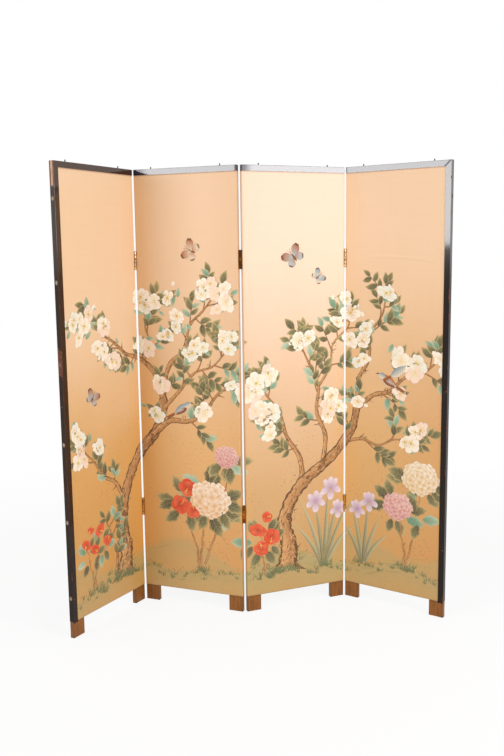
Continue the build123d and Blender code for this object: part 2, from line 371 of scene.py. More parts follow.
edge_distance, (place, middle, half), given = open_group(
    "edge_distance", {"Place": "Vector", "Middle": "Vector", "Half": "Vector"}, ("Distance",)
)
# How far in from each pair of faces of a box a place is; the middle one of the three is the
# distance to the nearest edge, because the smallest is the face that the place lies on.
size_off = vector_calc("ABSOLUTE", vector_calc("SUBTRACT", place, middle))
in_x, in_y, in_z = parts_of(vector_calc("ABSOLUTE", vector_calc("SUBTRACT", half, size_off)))
lesser, greater = calc("MINIMUM", in_x, in_y), calc("MAXIMUM", in_x, in_y)
hand_on(given, calc("MAXIMUM", lesser, calc("MINIMUM", greater, in_z)))

worn_lacquer, (place, edge, wear, black, wood, chip), given = open_group(
    "worn_lacquer",
    {"Place": "Vector", "Edge": 1.0, "Wear": 0.5, "Black": "Color", "Wood": "Color", "Chip": "Color"},
    ("Colour", "Roughness", "Gloss", "Height"),
)
patches = noise(place, 14.0, 4.0, 0.6)
reach = ramp(patches, 0.5, 0.72, 0.0, wear_reach) * (0.3 + noise(place, 160.0, 4.0, 0.65) * 1.4) * wear
rubbed = 1.0 - ramp(edge / (reach + 0.00001), 0.7, 1.3)
spots = ramp(noise(place, 55.0, 2.0, 0.5), 0.735, 0.76) * ramp(patches, 0.42, 0.55)
chipped = calc("MULTIPLY", spots, wear, clamp=True)
dust = noise(stretched(place, z=0.25), 42.0, 5.0, 0.7)
warm_black = blend_colours(ramp(dust, 0.5, 0.85) * 0.4, black, tint(66, 52, 44))
bare = calc("MAXIMUM", rubbed, chipped)
hand_on(
    given,
    blend_colours(chipped, blend_colours(rubbed, warm_black, wood), chip),
    ramp(dust * 0.5 + bare, 0.2, 1.2, 0.12, 0.7),
    calc("SUBTRACT", 1.0, bare, clamp=True),
    noise(stretched(place, z=0.1), 260.0, 2.0) * 0.25 - bare,
)


def worn_black(place, brushed_place, wear, black):
    """Worn lacquer on a panel whose outer edges are those of its box with the strips on."""
    edge = use_group(edge_distance, Place=place, Middle=strip_middle, Half=strip_half)["Distance"]
    into = {"Edge": edge, "Wear": wear, "Black": black, "Wood": rubbed_wood, "Chip": chip_pale}
    return use_group(worn_lacquer, Place=brushed_place, **into)


def cover_strip(number, worn, colour, gloss, height):
    """The lacquer's thin gloss coat; the first panel's strips are the more uneven ones."""
    relief = (height, 0.2 if number == 1 else 0.1, 0.0002)
    coat = {"Coat_Weight": gloss, "Coat_Roughness": 0.06, "Specular_IOR_Level": 0.08}
    cover(colour, worn["Roughness"], relief, **coat)


def cap_material(number):
    """Black lacquer on a cap strip, dulled by handling beside a joint or a mitre."""
    material, tree = new_material(f"cap_lacquer_{number}")
    place = panel_place(tree, number)
    x, y, z = parts_of(place)
    # The brush ran along the strip, so z and x change places.
    # The first cap takes the brown painted reflection of the silk, the others the lavender painted
    # reflection.
    worn = worn_black(place, place_of(z, y, x), 0.8, silk_reflection_brown if number == 1 else lavender_reflection_black)
    gloss = worn["Gloss"]
    for end, start, finish, least in cap_dull[number]:
        from_end = x if end == "left" else panel_length - x
        if (number, end) == (4, "right"):
            from_end = from_end - (panel_height - z)
        gloss = gloss * ramp(from_end, start, finish, least, 1.0)
    cover_strip(number, worn, worn["Colour"], gloss, worn["Height"])
    return material


def side_material(number):
    """Black lacquer on a side strip, dulled by hands but for its top; filler shows over its six pins."""
    material, tree = new_material(f"side_lacquer_{number}")
    place = panel_place(tree, number)
    x, y, z = parts_of(place)
    black = lacquer_black
    filler = tint(36, 28, 24), tint(70, 54, 44)
    if number == 1:
        # A painted reflection of the silk browns the middle of the front lip; the foot and the outer face are
        # still black.
        reflection_on_lip = ramp(y, 0.0004, 0.0016, 1.0, 0.3) * ramp(z, 0.28, 0.62, 0.25, 1.0)
        black = blend_colours(reflection_on_lip, lacquer_black, silk_reflection_brown)
        filler = tint(96, 84, 72), tint(178, 160, 140)
    worn = worn_black(place, place, 1.0, black)
    up_from_pin = (calc("FRACT", (z - first_pin) / pin_pitch + 0.5) - 0.5) * (pin_pitch * 0.75)
    beside_pin = y - panel_depth / 2
    from_pin = calc("SQRT", up_from_pin * up_from_pin + beside_pin * beside_pin)
    uneven = noise(place, 220.0, 3.0)
    outer_face = calc("LESS_THAN", x if number == 1 else panel_length - x, 0.0006)
    gone = ramp(from_pin + uneven * 0.008, pin_spot - 0.0015, pin_spot + 0.0015, 1.0, 0.0) * outer_face
    colour = blend_colours(gone, worn["Colour"], blend_colours(ramp(uneven, 0.35, 0.6), *filler))
    if number == 1:
        # The lacquer is gone from the top of that face, and scraped at a knock lower down.
        ragged = z + (noise(stretched(place, z=0.4), 120.0, 4.0) - 0.5) * 0.07
        bare = ramp(ragged, bare_above, bare_above + 0.003) * outer_face
        near_knock = ramp(abs(ragged - knock_height), knock_half - 0.002, knock_half + 0.005, 1.0, 0.0)
        knocked = near_knock * ramp(uneven, 0.3, 0.5) * outer_face
        scraped = blend_colours(ramp(uneven, 0.45, 0.62), tint(92, 52, 38), tint(140, 96, 80))
        colour = blend_colours(knocked * 0.85, colour, scraped)
        fibre = noise(stretched(place, z=0.05), 500.0, 3.0)
        from_middle = abs(y + fibre * 0.008 - bare_middle)
        streaky = blend_colours(ramp(from_middle, 0.002, 0.007), bare_wood, tint(116, 82, 62))
        streaky = blend_colours(ramp(fibre, 0.45, 0.7), streaky, tint(140, 98, 74))
        colour = blend_colours(bare, colour, streaky)
        gone = calc("MAXIMUM", gone, calc("MAXIMUM", bare, knocked))
    kept = calc("SUBTRACT", 1.0, gone, clamp=True)
    gloss = worn["Gloss"] * ramp(z, dull_below, shiny_above, 0.2, 1.0) * kept
    cover_strip(number, worn, colour, gloss, worn["Height"] + kept)
    return material


def back_material(number):
    """Black brushed on a back board and worn to satin.

    It has long brush marks, a bloom of dust, fine scratches, and scuffs at foot height.
    """
    material, tree = new_material(f"back_lacquer_{number}")
    place = panel_place(tree, number)
    worn = worn_black(place, place, 1.3, lacquer_black)
    marks = noise(stretched(place, z=0.02), 75.0, 4.0, 0.6, 0.4)
    bloom = noise(stretched(place, z=0.6), 4.0, 5.0, 0.6, 0.8)
    tilted = field("Mapping", {"Vector": place, "Rotation": (0.0, 0.35, 0.0)})
    line = abs(noise(stretched(tilted, z=0.05), 26.0, 2.0, 0.5) - 0.5)
    scratch = ramp(line, 0.001, 0.0035, 1.0, 0.0) * ramp(noise(place, 9.0, 2.0), 0.52, 0.6)
    at_foot_height = ramp(parts_of(place)[2], scuff_top, scuff_full, 0.0, 0.9)
    scuff = ramp(noise(stretched(place, z=3.0), 30.0, 5.0, 0.7), 0.56, 0.68) * at_foot_height
    dusty = ramp(bloom, 0.4, 0.75, 0.0, 0.34) + ramp(marks, 0.4, 0.8, 0.0, 0.16)
    colour = blend_colours(dusty, worn["Colour"], tint(92, 80, 68))
    colour = blend_colours(scratch * 0.55, colour, tint(112, 90, 72))
    colour = blend_colours(scuff * 0.6, colour, tint(104, 76, 56))
    rough = calc("ADD", ramp(bloom, 0.3, 0.8, 0.38, 0.62), scuff * 0.2, clamp=True)
    gloss = worn["Gloss"] * (ramp(bloom, 0.3, 0.75, 0.24, 0.10) - scratch * 0.2)
    raised = worn["Height"] + (marks * 0.8 - scratch)
    coat = {"Coat_Weight": gloss, "Coat_Roughness": 0.3, "Specular_IOR_Level": 0.22}
    cover(colour, rough, (raised, 0.25, 0.0004), **coat)
    return material


def soften(name, width):
    """Rounds a CAD node's sharp edges by a small bevel, so that they catch the light; faces stay flat."""
    node = frame["nodes"][name]
    node.modifiers.new("weld", "WELD").merge_threshold = 0.00001
    bevel = node.modifiers.new("bevel", "BEVEL")
    bevel.width, bevel.segments, bevel.limit_method = width, 2, "ANGLE"
    node.modifiers.new("level", "WEIGHTED_NORMAL").keep_sharp = True


for number in panel_numbers:
    finish_node(f"panel_{number}_cap_strip", cap_material(number))
    soften(f"panel_{number}_cap_strip", strip_edge)
    finish_node(f"panel_{number}_back_board", back_material(number))
for number, end in ((1, "left"), (4, "right")):
    finish_node(f"panel_{number}_side_strip_{end}", side_material(number))
    soften(f"panel_{number}_side_strip_{end}", strip_edge)

# ---- Silk ----
# A single sheet of gold silk, pasted over each front board and turned round the hinge edges, where
# it is cut away behind the hinge leaves. Thin washes of green ground are painted straight on it.
foot_top, silk_top, silk_thickness = 0.067, panel_height - 0.004, 0.0004
lip_width = 0.023
cap_line = panel_height - lip_width
silk_wrap, side_wall, corner_round = 0.017, 0.004, 0.0005
silk_step, silk_rows = 0.006, 295
hinge_middles, window_half = (0.417, 1.464), 0.0383
# A leaf hinged at the front covers the end down to the first depth, one hinged at the back starts
# at the second.
front_leaf_end, back_leaf_end = 0.0143, 0.0057


def stand(number, points):
    """Points given as (x, y, z) on a panel, put where it stands: corner plus x along and y back."""
    corner, along, back = panel_axes(number)
    plan = corner + points[:, :1] * along + points[:, 1:2] * back
    return np.concatenate([plan, points[:, 2:]], 1)


def silk_section(number):
    """The silk's line across a panel: x and y of each point, from the left edge's wrap to the right one's.

    A hinge edge starts at the back of the wrap, runs to the front and turns a small round corner.
    It has points where the hinge leaves end, one between them and one nearer the front.
    """
    mid_edge, near_front = 0.010, 0.0030
    depth = np.array([silk_wrap, front_leaf_end, mid_edge, back_leaf_end, near_front, corner_round])
    wrap = np.stack([np.zeros_like(depth), depth], 1)
    wrap = np.concatenate([wrap, [[0.3 * corner_round, 0.3 * corner_round]]])
    start = side_wall if number == 1 else corner_round
    finish = panel_length - (side_wall if number == 4 else corner_round)
    front_x = np.linspace(start, finish, int(round((finish - start) / silk_step)) + 1)
    parts = [np.stack([front_x, np.zeros_like(front_x)], 1)]
    if number != 1:
        parts.insert(0, wrap)
    if number != 4:
        parts.append(np.stack([panel_length - wrap[::-1, 0], wrap[::-1, 1]], 1))
    return np.concatenate(parts)


def hinge_is_front(number, end):
    """True at the joints whose axis runs along the front edge."""
    return (number, end) not in ((2, "right"), (3, "left"))


# The picture runs on over the four panels, so its places are (u, z) in metres with u counted
# through from the left end of panel 1 to the right end of panel 4.
panel_start = {number: (number - 1) * (panel_length + 2 * axis_beyond_end) for number in panel_numbers}

# Each bank's low level, and its humps as (height, middle, width).
near_bank = 0.150, ((0.085, 0.33, 0.16), (0.02, 0.74, 0.12), (0.095, 1.10, 0.20), (0.06, 1.62, 0.15))
far_bank = 0.222, (
    (0.06, 0.02, 0.14), (0.09, 0.62, 0.17), (-0.05, 0.95, 0.1), (0.085, 1.42, 0.16), (0.03, 1.8, 0.1),
)


def crest(bank, u):
    """Height of a bank at u: its low level plus its humps.

    Each hump is its height times e to the minus d squared, where d is the distance of u from the
    hump's middle over its width.
    """
    level, humps = bank
    return level + sum(height * np.exp(-(((u - middle) / width) ** 2)) for height, middle, width in humps)


def soft_step(value):
    """0 below 0, 1 above 1 and the smooth cubic between."""
    value = np.clip(value, 0, 1)
    return value * value * (3 - 2 * value)


def ground_wash(u, z):
    """Strength of the green wash at a place of the picture.

    Each bank is full at its crest and fades downwards; above the crest there is none. A ripple of
    two sine waves along u stands for the brush.
    """
    ripple = 0.004 * np.sin(61 * u) + 0.003 * np.sin(143 * u + 1.0)
    fade = 0.14
    wash = np.zeros_like(u)
    for bank, edge, strength in ((far_bank, 0.050, 0.8), (near_bank, 0.03, 1.0)):
        below = crest(bank, u) + ripple - z
        wash = np.maximum(wash, strength * soft_step(below / edge) * np.exp(-np.maximum(below, 0) / fade))
    return wash


def make_silk(number, material):
    """The sheet and its width: its section by height, without the faces that lie behind a hinge leaf."""
    section = silk_section(number)
    edges = [m + s * window_half for m in hinge_middles for s in (-1, 1)]
    heights = np.unique(np.concatenate([np.linspace(foot_top, silk_top, silk_rows), edges]))
    columns, rows = len(section), len(heights)
    x, z = np.tile(section[:, 0], rows), np.repeat(heights, columns)
    y = np.tile(section[:, 1], rows)
    faces = grid_faces(rows, columns)
    middle_x, middle_y, middle_z = x[faces].mean(1), y[faces].mean(1), z[faces].mean(1)
    at_hinge = np.min([np.abs(middle_z - m) for m in hinge_middles], axis=0) < window_half
    bare = np.zeros(len(faces), bool)
    for end, beside in (("left", middle_x < corner_round), ("right", middle_x > panel_length - corner_round)):
        behind_leaf = middle_y < front_leaf_end if hinge_is_front(number, end) else middle_y > back_leaf_end
        bare |= at_hinge & beside & behind_leaf
    faces = faces[~bare]
    silk = new_mesh(f"silk_{number}", stand(number, np.stack([x, y, z], 1)), faces, material)
    run = np.concatenate([[0], np.cumsum(np.hypot(*np.diff(section, axis=0).T))])
    cloth = silk.data.uv_layers.new(name="cloth")
    uv = np.stack([np.tile(run, rows), z], 1)[faces.ravel()]
    cloth.data.foreach_set("uv", uv.astype(np.float32).ravel())
    wash = silk.data.attributes.new("wash", "FLOAT", "POINT")
    wash.data.foreach_set("value", ground_wash(panel_start[number] + x, z).astype(np.float32))
    return silk, run[-1]


# Each sheet's gold low down, in the middle and at the top, and between which heights the last fades in.
# The lighter top colour is partly painted sheen, most of all on the third panel.
silk_tones_with_sheen = {
    1: (tint(208, 148, 70), tint(218, 164, 92), tint(240, 202, 162)),
    2: (tint(208, 150, 76), tint(221, 169, 102), tint(225, 185, 143)),
    3: (tint(198, 148, 76), tint(212, 165, 108), tint(241, 204, 174)),
    4: (tint(204, 148, 70), tint(216, 166, 97), tint(232, 193, 152)),
}
sheen_fade = {1: (0.6, 1.3), 2: (0.6, 1.3), 3: (0.45, 1.55), 4: (0.55, 1.6)}
wash_strength = {1: 0.76, 2: 0.76, 3: 0.94, 4: 0.80}
# Each end darkened by painted shade, with its colour, its strength low down and at the top, and how far in it
# reaches.
gold, brown = tint(236, 166, 62), tint(204, 136, 60)
shaded_ends = {
    1: [("right", gold, 0.28, 0.06, 0.10)],
    2: [
        ("left", gold, 0.35, 0.22, 0.13),
        ("left", brown, 0.35, 0.0, 0.13),
        ("right", brown, 0.16, 0.12, 0.16),
    ],
    3: [("left", gold, 0.14, 0.06, 0.05), ("right", gold, 0.28, 0.0, 0.10)],
    4: [("left", gold, 0.28, 0.14, 0.10), ("right", brown, 0.36, 0.0, 0.36)],
}
# Where each sheet has taken brown blots low down: none before the first x, full after the second.
blotted = {1: (0.45, 0.0), 2: (0.18, 0.36), 3: (0.2, 0.5), 4: (0.42, 0.1)}
crease_ends = (0.08, 0.16), (0.36, 0.41)
bow_start, crease_height, crease_bow = 0.15, 1.467, 0.35
warp_waves, weft_waves = 7000.0, 6200.0


def silk_material(number):
    """Gold silk: a warm ground that ages downwards, lighter at the top by painted sheen and darker towards
    its ends by painted shade; plain weave with slubs, foxing and the ground wash.
    """
    material, tree = new_material(f"gold_silk_{number}")
    cloth = field("UVMap", tree=tree, uv_map="cloth")
    run, height, _ = parts_of(cloth)
    place = panel_place(tree, number)
    across_panel = parts_of(place)[0]
    level = height + (noise(place, 3.0, 3.0, 0.5) - 0.5) * 0.35
    low_gold, mid_gold, top_gold_with_sheen = silk_tones_with_sheen[number]
    colour = blend_colours(ramp(level, 0.05, 0.7), low_gold, mid_gold)
    # Towards the top the colour turns lighter: partly painted sheen.
    colour = blend_colours(ramp(level, *sheen_fade[number]), colour, top_gold_with_sheen)
    for end, shade_colour, low_strength, top_strength, reach in shaded_ends[number]:
        # Painted shade darkens the silk towards its ends.
        from_end = across_panel if end == "left" else panel_length - across_panel
        end_shade = ramp(from_end, 0.0, reach, 1.0, 0.0) * ramp(height, 0.7, 1.5, low_strength, top_strength)
        colour = blend_colours(end_shade, colour, shade_colour)
    warp = noise(stretched(cloth, y=0.012), 420.0, 2.0, 0.6)
    weft = noise(stretched(cloth, x=0.012), 380.0, 3.0, 0.6)
    threads = warp * 0.45 + weft * 0.55
    colour = blend_colours(ramp(threads, 0.3, 0.7, 0.0, 0.07), colour, tint(170, 120, 70), "MULTIPLY")
    foxed = ramp(noise(cloth, 6.0, 2.0), 0.42, 0.62) * ramp(height, 1.15, 0.45)
    foxing = ramp(noise(cloth, 130.0, 2.0, 0.5), 0.60, 0.70) * foxed
    colour = blend_colours(foxing * 0.7, colour, tint(146, 90, 44))
    blot = ramp(noise(cloth, 24.0, 4.0, 0.65), 0.60, 0.70) * ramp(height, 0.80, 0.42)
    blot = blot * ramp(across_panel, *blotted[number])
    colour = blend_colours(blot * 0.4, colour, tint(186, 112, 48))
    wash = field("Attribute", output="Fac", tree=tree, attribute_name="wash")
    green = blend_colours(noise(stretched(cloth, y=4.0), 30.0, 4.0), tint(184, 162, 98), tint(138, 146, 98))
    colour = blend_colours(wash * wash_strength[number], colour, green)
    weave = calc("SINE", run * warp_waves) * calc("SINE", height * weft_waves) + threads * 3.0
    weave = weave + noise(stretched(cloth, y=0.35), 7.0, 2.0, 0.4) * 14.0
    if number == 4:
        # One long shallow crease, where the silk was slack when it was pasted down, with a painted highlight
        # above its line and painted shade below.
        past_start = calc("MAXIMUM", across_panel - bow_start, 0.0)
        above = height - (crease_height - past_start * past_start * crease_bow)
        here = ramp(across_panel, *crease_ends[0]) * ramp(across_panel, *crease_ends[1], 1.0, 0.0)
        lit = ramp(above, 0.0, 0.004) * ramp(above, 0.005, 0.014, 1.0, 0.0) * here
        dim = ramp(above, 0.0, -0.003) * ramp(above, -0.004, -0.010, 1.0, 0.0) * here
        colour = blend_colours(lit * 0.10, colour, tint(248, 220, 188))
        colour = blend_colours(dim * 0.14, colour, tint(196, 146, 96))
        weave = weave + lit * 0.8
    # Painted shade darkens the silk just under the cap strip, and the strip's lacquer runs on over the silk.
    colour = blend_colours(ramp(height, cap_line - 0.007, cap_line, 0.0, 0.6), colour, tint(140, 84, 44))
    colour = blend_colours(ramp(height, cap_line - 0.0002, cap_line + 0.0004), colour, lacquer_black)
    cover(colour, 0.5, (weave, 0.25, 0.0001), Specular_IOR_Level=1.0)
    return material


for number in panel_numbers:
    silk, silk_run = make_silk(number, silk_material(number))
    thickness = silk.modifiers.new("thickness", "SOLIDIFY")
    thickness.thickness, thickness.offset = silk_thickness, -1.0
    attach(silk, f"panel_{number}")
    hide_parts(f"panel_{number}_silk")

# ---- Painting: brushwork ----
# Bird-and-flower painting in opaque water colours. Every stroke is a thin film of paint laid on the
# silk, one over another, and the picture runs on across the four panels, broken at each joint.


def shade(red, green, blue):
    """A pigment as a linear colour array."""
    return np.array(tint(red, green, blue)[:3])


def between(first, second, share):
    """Colours between two, share 0 for the first and 1 for the second."""
    share = np.clip(np.asarray(share, float), 0, 1)[..., None]
    return first + (second - first) * share


def toward(angle):
    """A step of length 1 in the direction of an angle."""
    return np.array([math.cos(angle), math.sin(angle)])


def metres(values):
    """Millimetres of the picture's plan as an array in metres."""
    return np.array(values, float) * 0.001


def smooth_line(points, count):
    """A smooth line through points in millimetres, in metres.

    Each span is the cubic whose end slopes are half the step between the neighbouring points.
    """
    p = metres(points)
    slope = np.gradient(p, axis=0)
    t = np.linspace(0, len(p) - 1, count)
    i = np.minimum(t.astype(int), len(p) - 2)
    s = (t - i)[:, None]
    ends = p[i] * (1 + 2 * s) * (1 - s) ** 2 + p[i + 1] * s * s * (3 - 2 * s)
    return ends + slope[i] * s * (1 - s) ** 2 + slope[i + 1] * s * s * (s - 1)


def bent_line(root, angle, length, bend, count):
    """A line from root whose direction turns evenly by bend from end to end, angle at its middle."""
    turn = angle + bend * (np.linspace(0, 1, count) - 0.5)
    steps = np.stack([np.cos(turn), np.sin(turn)], 1)[:-1] * length / (count - 1)
    return np.concatenate([[root], root + np.cumsum(steps, axis=0)])


def heading_at(line, i):
    """The angle in which a line runs on from its point i."""
    return math.atan2(*(line[i + 1] - line[i])[::-1])


def swell(t, lean=1.0, blunt=0.5, ends=(0.0, 1.0)):
    """The outline of a stroke: the sine of pi times t to the lean, to the blunt, t kept between ends."""
    return np.sin(math.pi * np.clip(t, *ends) ** lean) ** blunt


bare_seam = 0.0004
film_step, films_before_repeat = 0.000006, 30
film_base = {
    "ground": 0.00006, "branches": 0.00012, "leaves": 0.0002,
    "grass": 0.0003, "flowers": 0.00034, "birds": 0.0005,
}
picture = {layer: [] for layer in film_base}
paint_material = {}


def brush(layer, line, width, colour, across=5):
    """Lays one stroke: a line carried sideways by its width, v from -1 on the left to 1 on the right.

    colour is one colour, one for each place on the line, or one for each point of the grid. The
    stroke's own coordinates are t along it from 0 to 1 and v across it.
    """
    slope = np.gradient(line, axis=0)
    slope /= np.linalg.norm(slope, axis=1)[:, None] + 1e-12
    side = np.stack([slope[:, 1], -slope[:, 0]], 1)
    v = np.linspace(-1, 1, across)
    half = np.broadcast_to(np.asarray(width, float) / 2, len(line))
    places = line[:, None] + side[:, None] * (half[:, None] * v)[..., None]
    colour = np.asarray(colour, float)
    if colour.ndim == 2:
        colour = colour[:, None]
    colour = np.broadcast_to(colour, (len(line), across, 3))
    own = np.stack(np.broadcast_arrays(np.linspace(0, 1, len(line))[:, None], v), -1)
    film = film_base[layer] + film_step * (len(picture[layer]) % films_before_repeat)
    picture[layer].append((places, colour, own, film))


def lay_picture(number, layer):
    """One panel's share of a layer as one mesh, if there is any.

    The strokes' grids are put together, points past the panel's edges are drawn in to them, and
    faces that are left with no width are dropped.
    """
    low = panel_start[number] + (lip_width if number == 1 else bare_seam)
    high = panel_start[number] + panel_length - (lip_width if number == 4 else bare_seam)
    strokes, faces, count = [], [], 0
    for grid, colour, own, film in picture[layer]:
        u = grid[..., 0].ravel()
        if u.max() <= low or u.min() >= high:
            continue
        quads = grid_faces(*grid.shape[:2])
        inside = (u > low) & (u < high)
        faces.append(quads[inside[quads].any(1)] + count)
        films = np.full(u.size, film)
        strokes.append((grid.reshape(-1, 2), colour.reshape(-1, 3), own.reshape(-1, 2), films))
        count += u.size
    if not strokes:
        return
    places, colours, owns, films = map(np.concatenate, zip(*strokes))
    used, faces = np.unique(np.concatenate(faces), return_inverse=True)
    faces = faces.reshape(-1, 4)
    x = np.clip(places[used, 0], low, high) - panel_start[number]
    z = np.clip(places[used, 1], foot_top + 0.001, cap_line)
    points = stand(number, np.stack([x, -films[used], z], 1))
    painted = new_mesh(f"painted_{layer}_{number}", points, faces, paint_material[layer])
    pigment = painted.data.attributes.new("pigment", "FLOAT_COLOR", "POINT")
    with_alpha = np.concatenate([colours[used], np.ones((len(used), 1))], 1)
    pigment.data.foreach_set("color", with_alpha.astype(np.float32).ravel())
    own_map = painted.data.uv_layers.new(name="stroke")
    own_map.data.foreach_set("uv", owns[used][faces.ravel()].astype(np.float32).ravel())
    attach(painted, f"panel_{number}")


def start_paint(name):
    """The start of a paint: its material, the pigment's colour, the stroke's t and v, and |v|."""
    material, tree = new_material(name)
    pigment = field("Attribute", output="Color", tree=tree, attribute_name="pigment")
    along, across, _ = parts_of(field("UVMap", tree=tree, uv_map="stroke"))
    return material, pigment, along, across, abs(across)


def dry_paint(colour):
    """Matt water colour over silk: the cloth's threads show through as a slight unevenness."""
    thread = noise(stretched(object_place(colour.tree), z=9.0), 110.0, 3.0)
    uneven = blend_colours(ramp(thread, 0.35, 0.75, 0.0, 0.3), colour, tint(214, 176, 130))
    cover(uneven, 0.75, Specular_IOR_Level=0.25)


# ---- Painting: banks and grass ----
# The washes on the silk are sharpened along their crests by a few long strokes, with tufts of grass
# and moss dots along them.
rng = np.random.default_rng(11)
picture_end = 1.80
moss, moss_pale = shade(128, 136, 84), shade(190, 160, 98)
grass_green, grass_dark = shade(134, 144, 98), shade(88, 106, 72)
paint_material["ground"], pigment, *_ = start_paint("ground_paint")
paint_material["grass"] = paint_material["ground"]
dry_paint(pigment)

for bank, seeds, strength in ((far_bank, 26, 0.35), (near_bank, 60, 0.7)):
    for start in rng.uniform(0, picture_end, seeds):
        u = np.linspace(start, start + rng.uniform(0.02, 0.09), 14)
        z = crest(bank, u) - rng.uniform(0.008, 0.06) + rng.normal(0, 0.03) * (u - start)
        green = between(moss_pale, moss, strength * rng.uniform(0.3, 1.0))
        width = rng.uniform(0.0015, 0.0045) * swell(np.linspace(0, 1, 14), 1.0, 0.8)
        brush("ground", np.stack([u, z], 1), width, green, 3)


def tuft(u, z, size, count, layer="ground"):
    """Blades of grass that fan out from one place, each bent over at its tip."""
    t = np.linspace(0, 1, 7)
    for lean in rng.normal(0, 0.5, count):
        length = size * rng.uniform(0.5, 1.0)
        root = (u + rng.normal(0, size * 0.25), z + rng.normal(0, 0.002))
        line = bent_line(root, math.pi / 2 - lean, length, -lean * 0.9, 7)
        colour = between(grass_dark, grass_green, t * rng.uniform(0.4, 1.0))
        brush(layer, line, 0.0021 * (1 - t) ** 0.6 + 0.0003, colour, 3)


for u in rng.uniform(0.03, picture_end, 70):
    z = crest(near_bank, u) - rng.uniform(0.01, 0.06)
    tuft(u, z, rng.uniform(0.012, 0.030), rng.integers(5, 10))
# Thick grass over the foot of each trunk and bush, reaching down to either side: where, how high,
# how wide and how many tufts.
thick_grass = (
    (0.318, 0.160, 0.052, 26), (1.088, 0.164, 0.052, 26), (0.262, 0.170, 0.02, 6),
    (0.134, 0.148, 0.026, 9), (0.720, 0.158, 0.024, 9), (0.984, 0.148, 0.024, 8),
    (1.262, 0.150, 0.026, 8), (1.448, 0.168, 0.022, 7), (1.642, 0.178, 0.024, 9),
)
for foot, low, width, count in thick_grass:
    for u in foot + rng.normal(0, width, count):
        z = low - 0.25 * abs(u - foot) + rng.uniform(-0.014, 0.006)
        tuft(u, z, rng.uniform(0.020, 0.044), rng.integers(5, 9), "grass")
blunt_ends = (0.03, 0.97)
for u in rng.uniform(0.03, picture_end, 120):
    place = (u, crest(near_bank, u) - rng.uniform(0.0, 0.03))
    dot = bent_line(place, rng.uniform(0, 3.1), rng.uniform(0.003, 0.006), 0, 5)
    brush("ground", dot, 0.0035 * swell(np.linspace(0, 1, 5), ends=blunt_ends), grass_dark, 3)

# ---- Painting: two old trees ----
# A plum and a pear tree, drawn with knotty trunks: light brown with dark broken outlines, short
# cracks along the bark, round knots and moss dots.
bark_light, bark_mid, bark_dark = shade(218, 164, 108), shade(174, 118, 70), shade(70, 40, 26)
moss_dark = shade(74, 80, 54)
limb_step, trunk_width = 0.007, 60
paint_material["branches"], pigment, along, across, off = start_paint("bark_paint")
height = parts_of(object_place(pigment.tree))[2]
crack = noise(place_of(along * 46.0, across * 3.4, height * 9.0), 1.0, 5.0, 0.7, 0.6)
lined = blend_colours(ramp(crack, 0.46, 0.36, 0.0, 0.55), pigment, tint(232, 190, 142))
lined = blend_colours(ramp(crack, 0.55, 0.63, 0.0, 0.85), lined, tint(92, 52, 34))
edge = ramp(off + crack * 1.3, 1.30, 1.48)
dry_paint(blend_colours(edge * 0.9, lined, tint(66, 38, 26)))


def somewhere(line, share, astray):
    """The point of a line at a share of its length, and the line's angle there, a little astray."""
    i = min(int(share * (len(line) - 1)), len(line) - 2)
    return i, heading_at(line, i) + rng.normal(0, astray)


def limb(points, start, finish, knots=0):
    """A limb through points in mm that tapers from start to finish; knots says how many it has.

    Its width is uneven by two sines and a little chance, it flares at the foot of a trunk, and it
    is light to one side.
    """
    length = np.linalg.norm(np.diff(metres(points), axis=0), axis=1).sum()
    count = max(12, int(length / limb_step))
    line = smooth_line(points, count)
    t = np.linspace(0, 1, count)
    run = t * length / 0.3
    wave = 0.07 * np.sin(23 * run + rng.uniform(0, 6)) + 0.05 * np.sin(57 * run + rng.uniform(0, 6))
    wave = wave + 0.06 * np.convolve(rng.normal(0, 1, count), (0.25, 0.5, 0.25), "same")
    flare = 1 + 0.35 * np.exp(-t * length / 0.05) * (start > trunk_width)
    width = metres(start + (finish - start) * t ** 0.85) * (1 + wave) * flare
    lit = between(bark_mid, bark_light, 0.5 - 0.7 * np.linspace(-1, 1, 7))
    brush("branches", line, width, between(lit, bark_mid * 0.8, t[:, None] * 0.7), 7)
    for share in rng.uniform(0.02, 0.85, knots * 10):
        # Short cracks, with the grain of the bark.
        i, along = somewhere(line, share, 0.35)
        middle = line[i] + rng.uniform(-0.36, 0.36) * width[i] * toward(along + math.pi / 2)
        crack = bent_line(middle, along, rng.uniform(0.006, 0.024), rng.normal(0, 0.7), 6)
        thick = rng.uniform(0.0016, 0.0046) * swell(np.linspace(0, 1, 6), blunt=1.0, ends=blunt_ends)
        brush("branches", crack, thick, bark_dark, 3)
    for share in rng.uniform(0.05, 0.75, (knots + 1) // 2):
        i, along = somewhere(line, share, 0.3)
        middle = line[i] + rng.normal(0, 0.16, 2) * width[i]
        stout = rng.uniform(0.5, 0.9)
        for size, colour in ((0.40, bark_dark), (0.26, bark_mid), (0.15, bark_dark * 0.6)):
            reach = size * width[i] * stout
            knot = bent_line(middle - 0.8 * reach * toward(along), along, reach * 1.6, 0.4, 7)
            brush("branches", knot, reach * swell(np.linspace(0.02, 0.98, 7)), colour)
    return line, width


def stub(place, angle, size):
    """A short dead twig, tapering to a point."""
    t = np.linspace(0, 1, 6)
    line = bent_line(place, angle, size, rng.normal(0, 0.5), 6)
    brush("branches", line, size * 0.22 * (1 - t) + 0.0006, between(bark_mid, bark_dark, t), 3)


